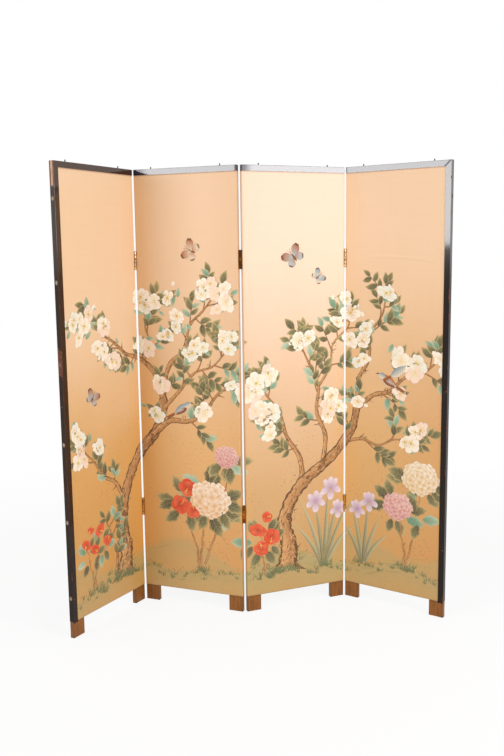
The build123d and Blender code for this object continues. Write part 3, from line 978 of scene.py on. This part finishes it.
# Each limb's points, its width at the root and at the tip, and its knots.
limb_plan = (
    # The plum, rooted on the first panel and leaning over onto the second.
    ([(318, 168), (338, 262), (318, 362), (332, 470), (376, 572), (446, 662), (520, 748), (560, 846),
      (556, 950)], 80, 34, 9),
    ([(508, 736), (590, 798), (672, 800), (742, 838), (806, 918), (866, 958)], 30, 8, 2),
    ([(558, 900), (520, 1004), (448, 1062), (372, 1086), (300, 1140), (226, 1182), (156, 1262)], 28, 6, 2),
    ([(556, 930), (596, 1036), (660, 1098), (690, 1200), (752, 1262), (806, 1330)], 25, 5, 1),
    ([(332, 478), (282, 562), (206, 608), (150, 682), (84, 736)], 24, 5, 1),
    ([(562, 850), (636, 926), (706, 1004), (790, 1036), (856, 1108)], 18, 5),
    ([(474, 1046), (506, 1120), (486, 1200), (520, 1288)], 13, 4),
    ([(262, 176), (276, 250), (256, 330), (226, 392)], 20, 5, 1),
    # The pear, rooted on the third panel and leaning over onto the fourth.
    ([(1088, 172), (1100, 260), (1078, 356), (1104, 452), (1176, 540), (1262, 600), (1342, 672), (1398, 762),
      (1420, 866)], 78, 32, 9),
    ([(1166, 528), (1150, 640), (1094, 730), (1062, 830), (1012, 902), (958, 966)], 27, 6, 1),
    ([(1258, 598), (1270, 722), (1230, 830), (1238, 940), (1192, 1040), (1146, 1136)], 24, 6, 1),
    ([(1416, 836), (1490, 898), (1562, 920), (1634, 982), (1716, 1010), (1780, 1066)], 25, 6, 1),
    ([(1420, 850), (1424, 960), (1470, 1050), (1476, 1150), (1530, 1236), (1546, 1322)], 23, 5, 1),
    ([(1356, 688), (1440, 708), (1516, 690), (1590, 722), (1662, 714)], 16, 5),
    ([(1236, 930), (1292, 1016), (1306, 1108), (1372, 1176), (1384, 1240)], 13, 4),
)
trunks, sucker = (0, 8), 7
limbs = [limb(*each) for each in limb_plan]
for index in trunks:
    line, width = limbs[index]
    t = np.linspace(0, 1, 8)
    for side in (-1, 1):
        # Roots that spread at the foot of the trunk.
        for reach in (0.05, 0.075):
            start = line[2] + np.array([side * width[0] * 0.22, 0.004])
            root = bent_line(start, -math.pi / 2 + side * (0.35 + reach * 9), reach, side * 0.5, 8)
            brush("branches", root, 0.026 * (1 - t) + 0.002, between(bark_mid, bark_dark, t))
for line, width in limbs:
    for i in rng.integers(2, len(line) - 2, max(1, len(line) // 20)):
        side = rng.choice((-1, 1))
        along = heading_at(line, i)
        outward = toward(along + math.pi / 2) * side * width[i]
        stub(line[i] + outward * 0.4, along + side * rng.uniform(0.7, 1.3), rng.uniform(0.014, 0.035))
        for _ in range(3):
            place = line[i] + outward * rng.uniform(0.35, 0.6) + rng.normal(0, 0.006, 2)
            dot = bent_line(place, rng.uniform(0, 3), 0.005, 0, 5)
            brush("branches", dot, 0.0045 * swell(np.linspace(0.04, 0.96, 5)), moss_dark, 3)

# ---- Painting: leaves ----
# Sage leaves set along the twigs to both sides: dark along the midrib, paler to the edge, with the
# veins drawn in, and here and there a young one in mint.
leaf_dark, leaf_mid, leaf_pale = shade(50, 56, 44), shade(106, 108, 74), shade(196, 176, 124)
mint_dark, mint_pale = shade(84, 142, 120), shade(190, 212, 188)
paint_material["leaves"], pigment, along, across, off = start_paint("leaf_paint")
vein = ramp(abs(calc("FRACT", along * 6.0 - off * 1.6) - 0.5), 0.08, 0.2, 1.0, 0.0)
midrib = ramp(off, 0.05, 0.14, 1.0, 0.0)
veined = blend_colours(calc("MAXIMUM", vein, midrib) * 0.24, pigment, tint(186, 182, 132))
rim = ramp(calc("MAXIMUM", off, along), 0.62, 1.0)
dry_paint(blend_colours(rim * 0.5, veined, tint(206, 174, 118)))


def leaf(place, angle, length, plump=0.5, young=False, lobes=0.0, layer="leaves"):
    """One leaf from its root: widest before the middle, half its width plump times its length.

    lobes adds waves to its edge. One side of the midrib is darker than the other.
    """
    count = 13 if lobes else 8
    t, v = np.linspace(0, 1, count), np.linspace(-1, 1, 5)
    width = length * plump * swell(t, 0.8, 0.85, (0.015, 0.985)) * (1 + lobes * np.sin(6 * math.pi * t - 0.6))
    lit = 0.02 + 0.46 * np.abs(v) ** 1.5 + 0.14 * v * rng.choice((-1, 1)) + 0.62 * t[:, None] ** 1.4
    if young:
        colour = between(mint_dark, mint_pale, lit + rng.normal(0, 0.15))
    else:
        lit = lit + rng.normal(0.0, 0.12)
        colour = between(between(leaf_dark, leaf_mid, 2 * lit), leaf_pale, 2 * lit - 1.1)
    brush(layer, bent_line(place, angle, length, rng.normal(0, 0.45), count), width, colour)


def spray(place, angle, length, leaves):
    """A twig with leaves set by turns to its two sides and one at its tip; returns the tip."""
    line = bent_line(place, angle, length, rng.normal(0, 0.7), 12)
    t = np.linspace(0, 1, 12)
    brush("branches", line, 0.0052 * (1 - t) + 0.0018, between(bark_mid, bark_dark, t), 3)
    for k in range(leaves):
        at = 11 - int(k * 9 / leaves)
        side = 1 if k % 2 else -1
        turn = side * rng.uniform(0.5, 1.1) if k else rng.normal(0, 0.2)
        way = heading_at(line, min(at, 10)) + turn
        leaf(line[at], way, rng.uniform(0.040, 0.060), rng.uniform(0.46, 0.6), rng.random() < 0.16)
    return line[-1]


blossom_places = []
for index, (line, width) in enumerate(limbs):
    first, sprays = (0.78, 2) if index in trunks else (0.3, max(3, len(line) // 8))
    for at in np.linspace(first, 0.99, sprays):
        i = min(int((at + rng.normal(0, 0.02)) * (len(line) - 1)), len(line) - 2)
        here = heading_at(line, i)
        way = here + rng.choice((-1, 1)) * rng.uniform(0.4, 1.2)
        tip = spray(line[i], way, rng.uniform(0.05, 0.12), rng.integers(4, 7))
        if rng.random() < 0.4 and index != sucker:
            blossom_places.append(tip)
    if index != sucker:
        blossom_places.append(line[-1])
    spray(line[-1], here, 0.05, 3)

# ---- Painting: flowers ----
# Cream blossom on both trees; below them hydrangea heads in cream and pink, red hibiscus and
# lilac irises. Petals are pale at the rim with a fine outline and streaks from the heart.
cream, cream_shade, heart_green = shade(255, 248, 236), shade(240, 218, 172), shade(206, 186, 84)
cool_white, blush = shade(240, 246, 238), shade(252, 226, 214)
red, red_deep, red_light = shade(232, 66, 34), shade(176, 38, 22), shade(248, 126, 88)
pink, pink_deep = shade(246, 214, 204), shade(196, 116, 122)
lilac, lilac_deep = shade(236, 220, 226), shade(172, 138, 172)
stamen_yellow, stamen_brown, stamen_pale = shade(222, 178, 72), shade(190, 128, 52), shade(244, 208, 110)
paint_material["flowers"], pigment, along, across, off = start_paint("petal_paint")
streak = noise(place_of(across * 5.0, along, 0.0), 2.2, 3.0)
streaked = blend_colours(ramp(streak, 0.45, 0.7, 0.0, 0.22), pigment, tint(190, 150, 110), "MULTIPLY")
rim = ramp(calc("MAXIMUM", off, along), 0.9, 0.99)
dry_paint(blend_colours(rim * 0.28, streaked, tint(186, 132, 96)))


def petal(middle, angle, start, length, plump, root_colour, tip_colour, aslant, bend=0.0, ruffle=0.0):
    """A petal that starts a little out from the flower's middle and is widest towards its tip.

    The flower is seen aslant by (squash, tilt): across the tilt its places are drawn in by squash.
    """
    count = 8
    t = np.linspace(0, 1, count)
    outline = swell(t, 1.35, 0.6, (0.03, 0.955))
    if ruffle:
        outline = outline * (1 + ruffle * np.sin(17 * t + rng.uniform(0, 6)))
    line = bent_line(toward(angle) * start, angle, length, bend, count)
    brush("flowers", line, length * plump * outline, between(root_colour, tip_colour, t ** 0.8))
    places, *rest = picture["flowers"].pop()
    squash, axis = aslant[0], toward(aslant[1])
    places = places - (1 - squash) * (places @ axis)[..., None] * axis + np.asarray(middle)
    picture["flowers"].append((places, *rest))


def disc(middle, size, colour, layer="flowers"):
    """A round dab."""
    s = np.linspace(0.03, 0.97, 7)
    line = np.stack([np.full(7, middle[0]), middle[1] + (s - 0.5) * size], 1)
    brush(layer, line, size * 2 * np.sqrt(s * (1 - s)), colour)


def blossom(place, size):
    """A double blossom: six outer petals, four inner ones, a green heart and a ring of stamens."""
    aslant, turn = (rng.uniform(0.5, 0.95), rng.uniform(0, math.pi)), rng.uniform(0, 6)
    rim_colour = (cream, cool_white, blush)[rng.choice(3, p=(0.45, 0.35, 0.2))]
    for ring, reach, lift in ((6, 0.52, 0.0), (4, 0.33, 0.5)):
        for k in range(ring):
            angle = turn + lift + k * 2 * math.pi / ring + rng.normal(0, 0.12)
            length = size * reach * rng.uniform(0.8, 1.12)
            bend = rng.normal(0, 0.3)
            petal(place, angle, size * 0.02, length, 0.95, cream_shade, rim_colour, aslant, bend, 0.05)
    disc(place, size * 0.13, heart_green)
    for angle in np.linspace(0, 2 * math.pi, 9)[:-1] + turn:
        line = bent_line(place, angle, size * rng.uniform(0.16, 0.24), 0, 3)
        brush("flowers", line, 0.0011, stamen_yellow, 3)
        disc(line[-1], size * 0.035, stamen_brown)


flat_on = (1.0, 0.0)


def bud(place, angle, size):
    """A closed bud: three narrow petals in a green cup."""
    for turn in (-0.35, 0.35, 0.0):
        petal(place, angle + turn, 0, size, 0.55, cream_shade, cream, flat_on)
    leaf(place, angle, size * 0.45, 0.7, True, layer="flowers")


for place in blossom_places:
    for k in range(rng.choice((1, 1, 2, 2, 3))):
        offset = rng.normal(0, 0.026, 2) if k else np.zeros(2)
        blossom(place + offset, rng.uniform(0.055, 0.088))
    bud(place + rng.normal(0, 0.022, 2), rng.uniform(0, 6), rng.uniform(0.018, 0.028))
    for _ in range(2):
        leaf(place + rng.normal(0, 0.026, 2), rng.uniform(0, 6), rng.uniform(0.03, 0.045), 0.5, True)


def stalk(points, width=4.0):
    """A crooked brown stem through points in mm, with dead twigs; it sways by a sum of two sines."""
    count = 26
    t = np.linspace(0, 1, count)
    sway = 0.004 * np.sin(11 * t + rng.uniform(0, 6)) + 0.002 * np.sin(29 * t + rng.uniform(0, 6))
    line = smooth_line(points, count) + np.stack([sway, np.zeros(count)], 1)
    thick = metres(width) * (1.9 - 1.1 * t) * (1 + 0.15 * np.sin(47 * t))
    brush("branches", line, thick, between(bark_mid, bark_light, 0.3 + 0.3 * np.sin(17 * t)))
    for i in range(3, count - 3, 7):
        side = rng.choice((-1, 1))
        stub(line[i], math.pi / 2 + side * rng.uniform(0.5, 1.1), rng.uniform(0.010, 0.022))


def leaf_ring(middle, count, near, size, lobes, spread=(0.0, 2 * math.pi)):
    """Broad leaves that show from behind a flower head."""
    for angle in np.linspace(*spread, count, endpoint=False) + rng.normal(0, 0.2, count):
        root = metres(middle) + metres(near) * toward(angle)
        way, length = angle + rng.normal(0, 0.3), metres(size) * rng.uniform(0.8, 1.15)
        leaf(root, way, length, 0.62, rng.random() < 0.15, lobes)


def hydrangea(middle, radius, pale, deep):
    """A round head of four-petalled florets set on a spiral, turned by the golden angle, deeper low down."""
    middle, radius = metres(middle), metres(radius)
    count, golden_angle = 38, 2.39996
    for k in range(count):
        out = radius * math.sqrt((count - k) / count)
        angle = k * golden_angle
        place = middle + out * np.array([math.cos(angle), math.sin(angle) * 0.88])
        low = 0.5 - 0.45 * (place[1] - middle[1]) / radius - 0.2 * (place[0] - middle[0]) / radius
        tip = between(pale, deep, 0.5 * low + rng.normal(0, 0.10))
        root = between(pale, deep, 0.75 + 0.45 * low)
        turn, size = rng.uniform(0, 1.6), radius * rng.uniform(0.24, 0.34)
        for q in range(4):
            petal(place, turn + q * math.pi / 2, 0, size, 1.0, root, tip, (1 - 0.45 * out / radius, angle))
        disc(place, size * 0.16, stamen_yellow)


def hibiscus(middle, size):
    """Five broad ruffled red petals with four inside, deep at the heart, and a long column of stamens."""
    middle, size = metres(middle), metres(size)
    aslant, turn = (rng.uniform(0.65, 0.95), rng.uniform(0, math.pi)), rng.uniform(0, 6)
    for ring, reach, lift in ((5, 0.52, 0.0), (4, 0.36, 0.35)):
        for k in range(ring):
            angle = turn + lift + k * 2 * math.pi / ring
            tip, bend = between(red, red_light, rng.uniform(0, 0.6)), rng.normal(0, 0.3)
            petal(middle, angle, 0, size * reach, 1.08, red_deep, tip, aslant, bend, 0.07)
    line = bent_line(middle, turn, size * 0.3, 0.4, 6)
    brush("flowers", line, 0.0025, stamen_yellow, 3)
    for k in range(6):
        disc(line[-1 - k // 2] + rng.normal(0, 0.003, 2), 0.0035, stamen_pale)


# An iris's petals: the angle, the bend and the width of each, three upright and three hanging.
iris_petals = (
    (1.05, 0.5, 0.55), (2.1, -0.5, 0.55), (1.57, 0.0, 0.6),
    (-0.55, -1.0, 0.6), (3.7, 1.0, 0.6), (-1.57, 0.0, 0.68),
)


def iris(root, lean, middle, size):
    """A straight green stem that leans in mm at its middle, lilac petals and a yellow tongue."""
    t = np.linspace(0, 1, 26)
    stem = smooth_line([root, ((root[0] + middle[0]) / 2 + lean, 300), (middle[0], middle[1] - 8)], 26)
    brush("leaves", stem, 0.005 * (1.1 - 0.4 * t), between(leaf_mid, leaf_pale, t), 3)
    middle, size = metres(middle), metres(size)
    for angle, bend, plump in iris_petals:
        angle = angle + rng.normal(0, 0.08)
        petal(middle, angle, 0, size * 0.52, plump, lilac_deep, lilac, flat_on, bend, 0.06)
    tongue = bent_line(middle, -1.57, size * 0.2, 0, 4)
    brush("flowers", tongue, np.array([0.4, 1, 1, 0.3]) * 0.004, stamen_yellow, 3)


def blades(root, spread):
    """Long sword leaves from one root, given as (lean in degrees, length in mm)."""
    t, v = np.linspace(0, 1, 22), np.linspace(-1, 1, 5)
    width = 0.017 * np.clip(t * 6 + 0.5, 0, 1) * (1 - t ** 3) + 0.0008
    for lean, length in spread:
        turn = math.radians(lean)
        start = metres(root) + [lean * 0.0003, 0]
        line = bent_line(start, math.pi / 2 - turn, metres(length), -turn * 0.9, 22)
        lit = 0.35 + 0.3 * v + 0.4 * t[:, None] + rng.normal(0, 0.08)
        brush("leaves", line, width, between(leaf_dark, between(leaf_pale, mint_pale, 0.4), lit))


# First panel: a small red hibiscus bush left of the plum's foot.
stalk([(128, 150), (116, 240), (92, 330)])
stalk([(128, 150), (150, 250), (164, 372)])
stalk([(146, 230), (190, 280), (214, 318)])
leaf_ring((118, 300), 9, 40, 52, 0.0)
leaf_ring((180, 320), 8, 34, 50, 0.0)
for middle, size in (((92, 352), 56), ((140, 322), 50), ((172, 392), 60), ((216, 336), 52), ((120, 404), 40)):
    hibiscus(middle, size)

# Second panel: red hibiscus beside a large cream hydrangea, with a small pink head above.
stalk([(720, 160), (724, 300), (770, 430)], 6)
stalk([(716, 160), (690, 290), (650, 420)], 6)
stalk([(730, 190), (800, 360), (838, 560), (846, 640)], 5)
leaf_ring((764, 470), 11, 70, 84, 0.12)
leaf_ring((650, 450), 9, 52, 74, 0.12)
leaf_ring((842, 640), 6, 30, 70, 0.12, (-2.8, 0.4))
leaf_ring((812, 420), 3, 20, 74, 0.12, (-1.5, 0.6))
hydrangea((764, 474), 84, cream, shade(222, 168, 104))
for middle, size in (((664, 516), 84), ((628, 440), 88), ((688, 424), 78)):
    hibiscus(middle, size)
hydrangea((842, 660), 50, pink, pink_deep)

# Third panel: red hibiscus left of the pear's foot, irises to its right.
stalk([(984, 150), (978, 240), (966, 330)])
stalk([(984, 150), (1010, 220), (1030, 280)])
leaf_ring((980, 300), 10, 52, 66, 0.0)
for middle, size in (((958, 348), 80), ((1022, 312), 76), ((972, 268), 72), ((1000, 400), 48)):
    hibiscus(middle, size)
blades((1262, 150), ((-34, 250), (-20, 330), (-8, 300), (4, 360), (14, 300), (26, 340), (40, 240)))
for middle, size in (((1224, 440), 92), ((1296, 490), 98), ((1330, 396), 80)):
    iris((1262, 160), 6, middle, size)

# Fourth panel: a few irises at the left, pink and cream hydrangeas at the right.
blades((1448, 170), ((-30, 200), (-12, 260), (6, 280), (20, 230), (38, 180)))
for middle, size in (((1420, 400), 78), ((1476, 440), 84)):
    iris((1448, 170), 0, middle, size)
stalk([(1640, 180), (1630, 300), (1606, 420)], 5)
stalk([(1644, 180), (1680, 360), (1706, 540)], 5)
leaf_ring((1606, 430), 8, 56, 76, 0.12)
leaf_ring((1704, 560), 7, 62, 84, 0.12, (-3.4, 0.6))
leaf_ring((1690, 400), 4, 30, 80, 0.12)
hydrangea((1606, 440), 62, pink, pink_deep)
hydrangea((1704, 570), 74, cream, shade(216, 176, 104))

# ---- Painting: birds and butterflies ----
# Three small birds on the boughs and four butterflies, in browns and a greyed blue. They are laid
# last, each from a few strokes of a fine brush, with barbs drawn across the feathers.
brown, brown_deep, ink = shade(172, 94, 50), shade(96, 54, 32), shade(40, 32, 28)
blue_grey, blue_pale, belly = shade(112, 154, 176), shade(184, 208, 212), shade(244, 226, 200)
paint_material["birds"], pigment, along, across, off = start_paint("feather_paint")
barb = abs(calc("FRACT", along * 7.0 + off * 1.2) - 0.5)
feathered = blend_colours(ramp(barb, 0.1, 0.25, 1.0, 0.0) * 0.25, pigment, tint(90, 58, 40))
dry_paint(blend_colours(ramp(off, 0.85, 1.0) * 0.4, feathered, tint(90, 60, 44)))


def bird(foot, facing, size, back_colour):
    """A small bird perched at foot, of feather strokes; facing is 1 for right, -1 for left.

    Each stroke is its start in bird sizes from the foot, its angle, length and width, its two
    colours, its bend, where it is widest, and its points across.
    """
    foot, size = metres(foot), metres(size)
    dark, warm = (brown_deep, brown_deep), (brown_deep, brown)
    strokes = [
        *(((-0.34, 0.26), lean, 0.62, 0.09, warm, 0.0, 0.6, 5) for lean in (-2.72, -2.62, -2.52)),
        *(((leg, 0.16), -1.4, 0.2, 0.03, dark, 0.0, 1.0, 3) for leg in (-0.02, 0.1)),
        ((-0.42, 0.22), 0.62, 0.92, 0.44, (back_colour, belly), 0.35, 0.95, 5),
        ((0.12, 0.60), 0.45, 0.34, 0.30, (blue_grey, belly), 0.2, 1.0, 5),
        ((0.20, 0.50), -2.62, 0.66, 0.22, warm, -0.1, 0.7, 5),
        ((0.06, 0.45), -2.72, 0.46, 0.13, (brown, blue_pale), -0.1, 0.7, 5),
        ((0.42, 0.76), -0.1, 0.15, 0.06, (ink, brown_deep), 0.0, 0.5, 3),
    ]
    for start, angle, length, width, colours, bend, lean, across in strokes:
        start = foot + np.array([facing * start[0], start[1]]) * size
        angle = angle if facing > 0 else math.pi - angle
        line = bent_line(start, angle, length * size, bend * facing, 12)
        outline = swell(np.linspace(0, 1, 12), lean, 0.75, (0.02, 0.98))
        share = np.broadcast_to(0.5 + 0.5 * np.linspace(-1, 1, across) * facing, (12, across))
        brush("birds", line, width * size * outline, between(*colours, share), across)
    disc(foot + np.array([facing * 0.33, 0.77]) * size, size * 0.062, belly, "birds")
    disc(foot + np.array([facing * 0.335, 0.77]) * size, size * 0.042, ink, "birds")


def butterfly(middle, heading_degrees, size, pale, deep):
    """A butterfly seen from above: two pairs of wings as broad petals, a tapered body and two feelers."""
    middle, size, ahead = metres(middle), metres(size), math.radians(heading_degrees)
    t = np.linspace(0, 1, 10)
    lit = (t ** 0.7)[:, None] + 0.1 * np.linspace(-1, 1, 5)
    dark_rim = np.broadcast_to(soft_step((t - 0.78) / 0.15)[:, None], (10, 5))
    for side in (-1, 1):
        wings = (0.95, 0.62, 0.62, pale, deep), (2.15, 0.46, 0.78, deep, pale)
        for turn, length, plump, root, tip in wings:
            wing = bent_line(middle, ahead + side * turn, length * size, side * 0.35, 10)
            width = length * plump * size * swell(t, 1.5, 0.6, (0.03, 0.94))
            brush("birds", wing, width, between(between(root, tip, lit), brown_deep, dark_rim))
        head = middle + toward(ahead) * size * 0.16
        brush("birds", bent_line(head, ahead + side * 0.3, size * 0.3, side * 0.5, 6), 0.0011, brown_deep, 3)
    body = bent_line(middle - toward(ahead) * size * 0.2, ahead, size * 0.4, 0, 8)
    brush("birds", body, size * 0.085 * swell(np.linspace(0.04, 0.98, 8), 0.8, 0.6), brown_deep, 3)


bird((650, 812), 1, 88, blue_grey)
bird((1556, 922), -1, 92, brown)
bird((1606, 966), 1, 84, blue_grey)
butterfly((1130, 1470), 130, 92, blue_pale, brown)
butterfly((1236, 1388), 40, 62, belly, blue_grey)
butterfly((160, 930), 60, 74, blue_pale, brown)
butterfly((706, 1500), 155, 84, belly, brown)
for layer in picture:
    for number in panel_numbers:
        lay_picture(number, layer)

# ---- Feet ----
# Eight blocks of stained hardwood, each with a stub tenon up into its stile and standing just behind
# the silk's face. The arrises are eased, and the stain has gone in darker along every edge.
foot_width, foot_front, foot_from_end = 0.061, 0.0005, 0.031
foot_middle = (0.0, (panel_depth + foot_front) / 2, 0.0)
foot_half = (foot_width / 2, (panel_depth - foot_front) / 2, foot_top)
for number in panel_numbers:
    material, tree = new_material(f"foot_stain_{number}")
    place = panel_place(tree, number)
    x, y, z = parts_of(place)
    # Both feet are mirror images about the panel's middle, so x is folded there and again at a foot.
    from_foot = abs(x - panel_length / 2) - (panel_length / 2 - foot_from_end)
    folded = place_of(from_foot, y, z)
    edge = use_group(edge_distance, Place=folded, Middle=foot_middle, Half=foot_half)["Distance"]
    grain = use_group(wood_grain, Place=place, Pale=tint(146, 92, 34), Dark=tint(122, 76, 30), Pore=0.4)
    blotch = noise(place, 45.0, 4.0, 0.6)
    patchy = blend_colours(ramp(blotch, 0.4, 0.75, 0.0, 0.6), grain["Colour"], tint(156, 92, 36))
    dark_edge = 1.0 - ramp(edge - blotch * 0.003, 0.0015, 0.0055)
    dark_edge = dark_edge * ramp(z, 0.004, 0.012, 0.85, 0.35)
    stained = blend_colours(dark_edge, patchy, tint(78, 56, 42))
    cover(stained, 0.48, (grain["Height"], grain_strength, grain_depth), Specular_IOR_Level=0.3)
    for end in ("left", "right"):
        finish_node(f"panel_{number}_foot_{end}", material)

# ---- Top pegs ----
# Two short steel pegs in each cap strip, driven into the wood by a tang. Each is turned, with a
# thin collar, a narrow neck and a rounded head, and has gone dull and brown.
peg_from_end, peg_depth, peg_sides = 0.074, 0.01025, 24
# The peg's radius and height from its root in the cap to the top of its head.
peg_profile = [
    (0.0015, -0.004), (0.0015, 0.0), (0.0024, 0.0), (0.0024, 0.0012), (0.0020, 0.0018), (0.0019, 0.0034),
    (0.0021, 0.0042), (0.0024, 0.0052), (0.0024, 0.0068), (0.0022, 0.0078), (0.0016, 0.0086),
    (0.0008, 0.0089),
]


def turned_piece(profile, around, middle, first):
    """A profile of (radius, height) pairs turned about an upright line at middle, closed at both ends.

    first is the number of its first point.
    """
    angle = np.linspace(0, 2 * math.pi, around, endpoint=False)
    radius, height = np.array(profile).T
    x = middle[0] + radius[:, None] * np.cos(angle)
    y = middle[1] + radius[:, None] * np.sin(angle)
    z = middle[2] + np.repeat(height[:, None], around, 1)
    ring = first + np.arange(len(profile) - 1)[:, None] * around
    here, beside = (ring + np.arange(around)).ravel(), (ring + (np.arange(around) + 1) % around).ravel()
    faces = np.stack([here, beside, beside + around, here + around], 1).tolist()
    bottom = first + np.arange(around)
    top = bottom + (len(profile) - 1) * around
    return np.stack([x, y, z], -1).reshape(-1, 3), faces + [bottom[::-1].tolist(), top.tolist()]


patina, (place, bright, dull, spread), given = open_group(
    "patina",
    {"Place": "Vector", "Bright": "Color", "Dull": "Color", "Spread": 0.5},
    ("Colour", "Roughness", "Metal"),
)
cover_share = noise(place, 60.0, 4.0, 0.6) * 0.75 + noise(place, 600.0, 3.0, 0.6) * 0.25
dulled = ramp(cover_share + (spread - 0.5), 0.4, 0.62)
rough, metal = ramp(dulled, 0.0, 1.0, 0.28, 0.62), ramp(dulled, 0.0, 1.0, 0.9, 0.35)
hand_on(given, blend_colours(dulled, bright, dull), rough, metal)


def aged_metal(name, bright, dull, spread):
    """A new metal that has dulled in patches: its material, its place and its aged looks."""
    material, tree = new_material(name)
    place = object_place(tree)
    return material, place, use_group(patina, Place=place, Bright=bright, Dull=dull, Spread=spread)


dark_steel, _, aged = aged_metal("dark_steel", tint(80, 72, 70), tint(44, 36, 32), 0.62)
cover(aged["Colour"], aged["Roughness"], Metallic=aged["Metal"])
for number in panel_numbers:
    points, faces = [], []
    for x in (peg_from_end, panel_length - peg_from_end):
        first = len(points) * len(peg_profile) * peg_sides
        some_points, some_faces = turned_piece(peg_profile, peg_sides, (x, peg_depth, panel_height), first)
        points.append(some_points)
        faces += some_faces
    pegs = new_mesh(f"top_pegs_{number}", stand(number, np.concatenate(points)), faces, dark_steel)
    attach(pegs, f"panel_{number}")
    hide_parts(f"panel_{number}_top_pegs")

# ---- Hinges ----
# Six brass butt hinges of the three inch size. Each leaf is curled into its knuckles and held to the
# stile by three slotted screws, staggered; the upper one of the middle joint is a darker, browner brass.
pale_brass = (tint(224, 186, 138), tint(158, 118, 76), 0.48)
dull_brass = (tint(228, 164, 72), tint(150, 94, 32), 0.5)
brown_brass = (tint(210, 150, 66), tint(114, 72, 28), 0.54)
knuckle_pitch, barrel_reach, leaf_edge = 0.0152, 0.0037, 0.0002


def hinge_material(joint, level, look):
    """A hinge's brass, dulled in patches, with painted shade in the seams between its knuckles."""
    material, place, aged = aged_metal(f"brass_{joint}_{level}", *look)
    axis = (*joint_place[f"joint_{joint}"], hinge_middles[level == "upper"])
    x, y, z = parts_of(vector_calc("SUBTRACT", place, axis))
    from_axis = calc("SQRT", x * x + y * y)
    from_seam = abs(calc("FRACT", z / knuckle_pitch) - 0.5)
    at_barrel = ramp(from_axis, barrel_reach, barrel_reach + 0.0006, 1.0, 0.0)
    # Painted shade darkens the brass at the seams between the knuckles.
    seam_shade = ramp(from_seam, 0.05, 0.12, 0.9, 0.0) * at_barrel
    colour = blend_colours(seam_shade, aged["Colour"], tint(46, 28, 16))
    cover(colour, aged["Roughness"], Metallic=aged["Metal"] * (1.0 - seam_shade))
    return material


for joint in ("1_2", "2_3", "3_4"):
    for level in ("lower", "upper"):
        look = dull_brass if level == "lower" else brown_brass if joint == "2_3" else pale_brass
        brass = hinge_material(joint, level, look)
        for part in ("leaf_left", "leaf_right", "pin"):
            name = f"hinge_{joint}_{level}_{part}"
            finish_node(name, brass)
            soften(name, leaf_edge)

leaf_face_beyond_end = 0.0011
screw_radius, screw_dome, slot_half_width, slot_depth = 0.0029, 0.00035, 0.16, 0.0006
# Places of a leaf's screws: in from the axis across the leaf, and up from its middle.
screw_places = ((0.0075, -0.0265), (0.0134, 0.0), (0.0075, 0.0265))


def screw_head(middle, slot_turn):
    """A low domed head on the plane of a hinge leaf, as (out, across, up).

    A square grid is drawn onto a disc: each of its coordinates times the root of one less half the
    other's square. The dome is a parabola, and inside the slot the height is brought down.
    """
    half_line = np.array([0, slot_half_width, slot_half_width + 0.01, 0.45, 0.75, 1])
    a, b = np.meshgrid(np.concatenate([-half_line[:0:-1], half_line]), np.linspace(-1, 1, 9))
    disc_a, disc_b = a * np.sqrt(1 - b * b / 2), b * np.sqrt(1 - a * a / 2)
    out = screw_dome * (1 - disc_a ** 2 - disc_b ** 2)
    out = np.where(np.abs(a) <= slot_half_width, out - slot_depth, out)
    across = screw_radius * (disc_a * math.cos(slot_turn) - disc_b * math.sin(slot_turn))
    up = screw_radius * (disc_a * math.sin(slot_turn) + disc_b * math.cos(slot_turn))
    points = np.stack([middle[0] + out, middle[1] + across, middle[2] + up], -1).reshape(-1, 3)
    return points, grid_faces(*a.shape)


screw_rng = np.random.default_rng(5)
screw_brass, _, aged = aged_metal("screw_brass", tint(206, 160, 88), tint(120, 80, 38), 0.45)
cover(aged["Colour"], aged["Roughness"], Metallic=aged["Metal"])
for number in panel_numbers:
    points, faces, count = [], [], 0
    for end in ("left", "right"):
        if (number, end) in ((1, "left"), (4, "right")):
            continue
        front = hinge_is_front(number, end)
        for hinge_middle in hinge_middles:
            for from_axis, up in screw_places:
                y = from_axis - axis_proud if front else panel_depth + axis_proud - from_axis
                place = (leaf_face_beyond_end, y, hinge_middle + up)
                some_points, some_faces = screw_head(place, screw_rng.uniform(0, 3.1))
                if end == "left":
                    # The left end is the right one's mirror image, so its faces are turned over.
                    some_points[:, 0] *= -1
                    some_faces = some_faces[:, ::-1]
                else:
                    some_points[:, 0] += panel_length
                points.append(some_points)
                faces.append(some_faces + count)
                count += len(some_points)
    points = stand(number, np.concatenate(points))
    screws = new_mesh(f"hinge_screws_{number}", points, np.concatenate(faces), screw_brass, smooth=False)
    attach(screws, f"panel_{number}")
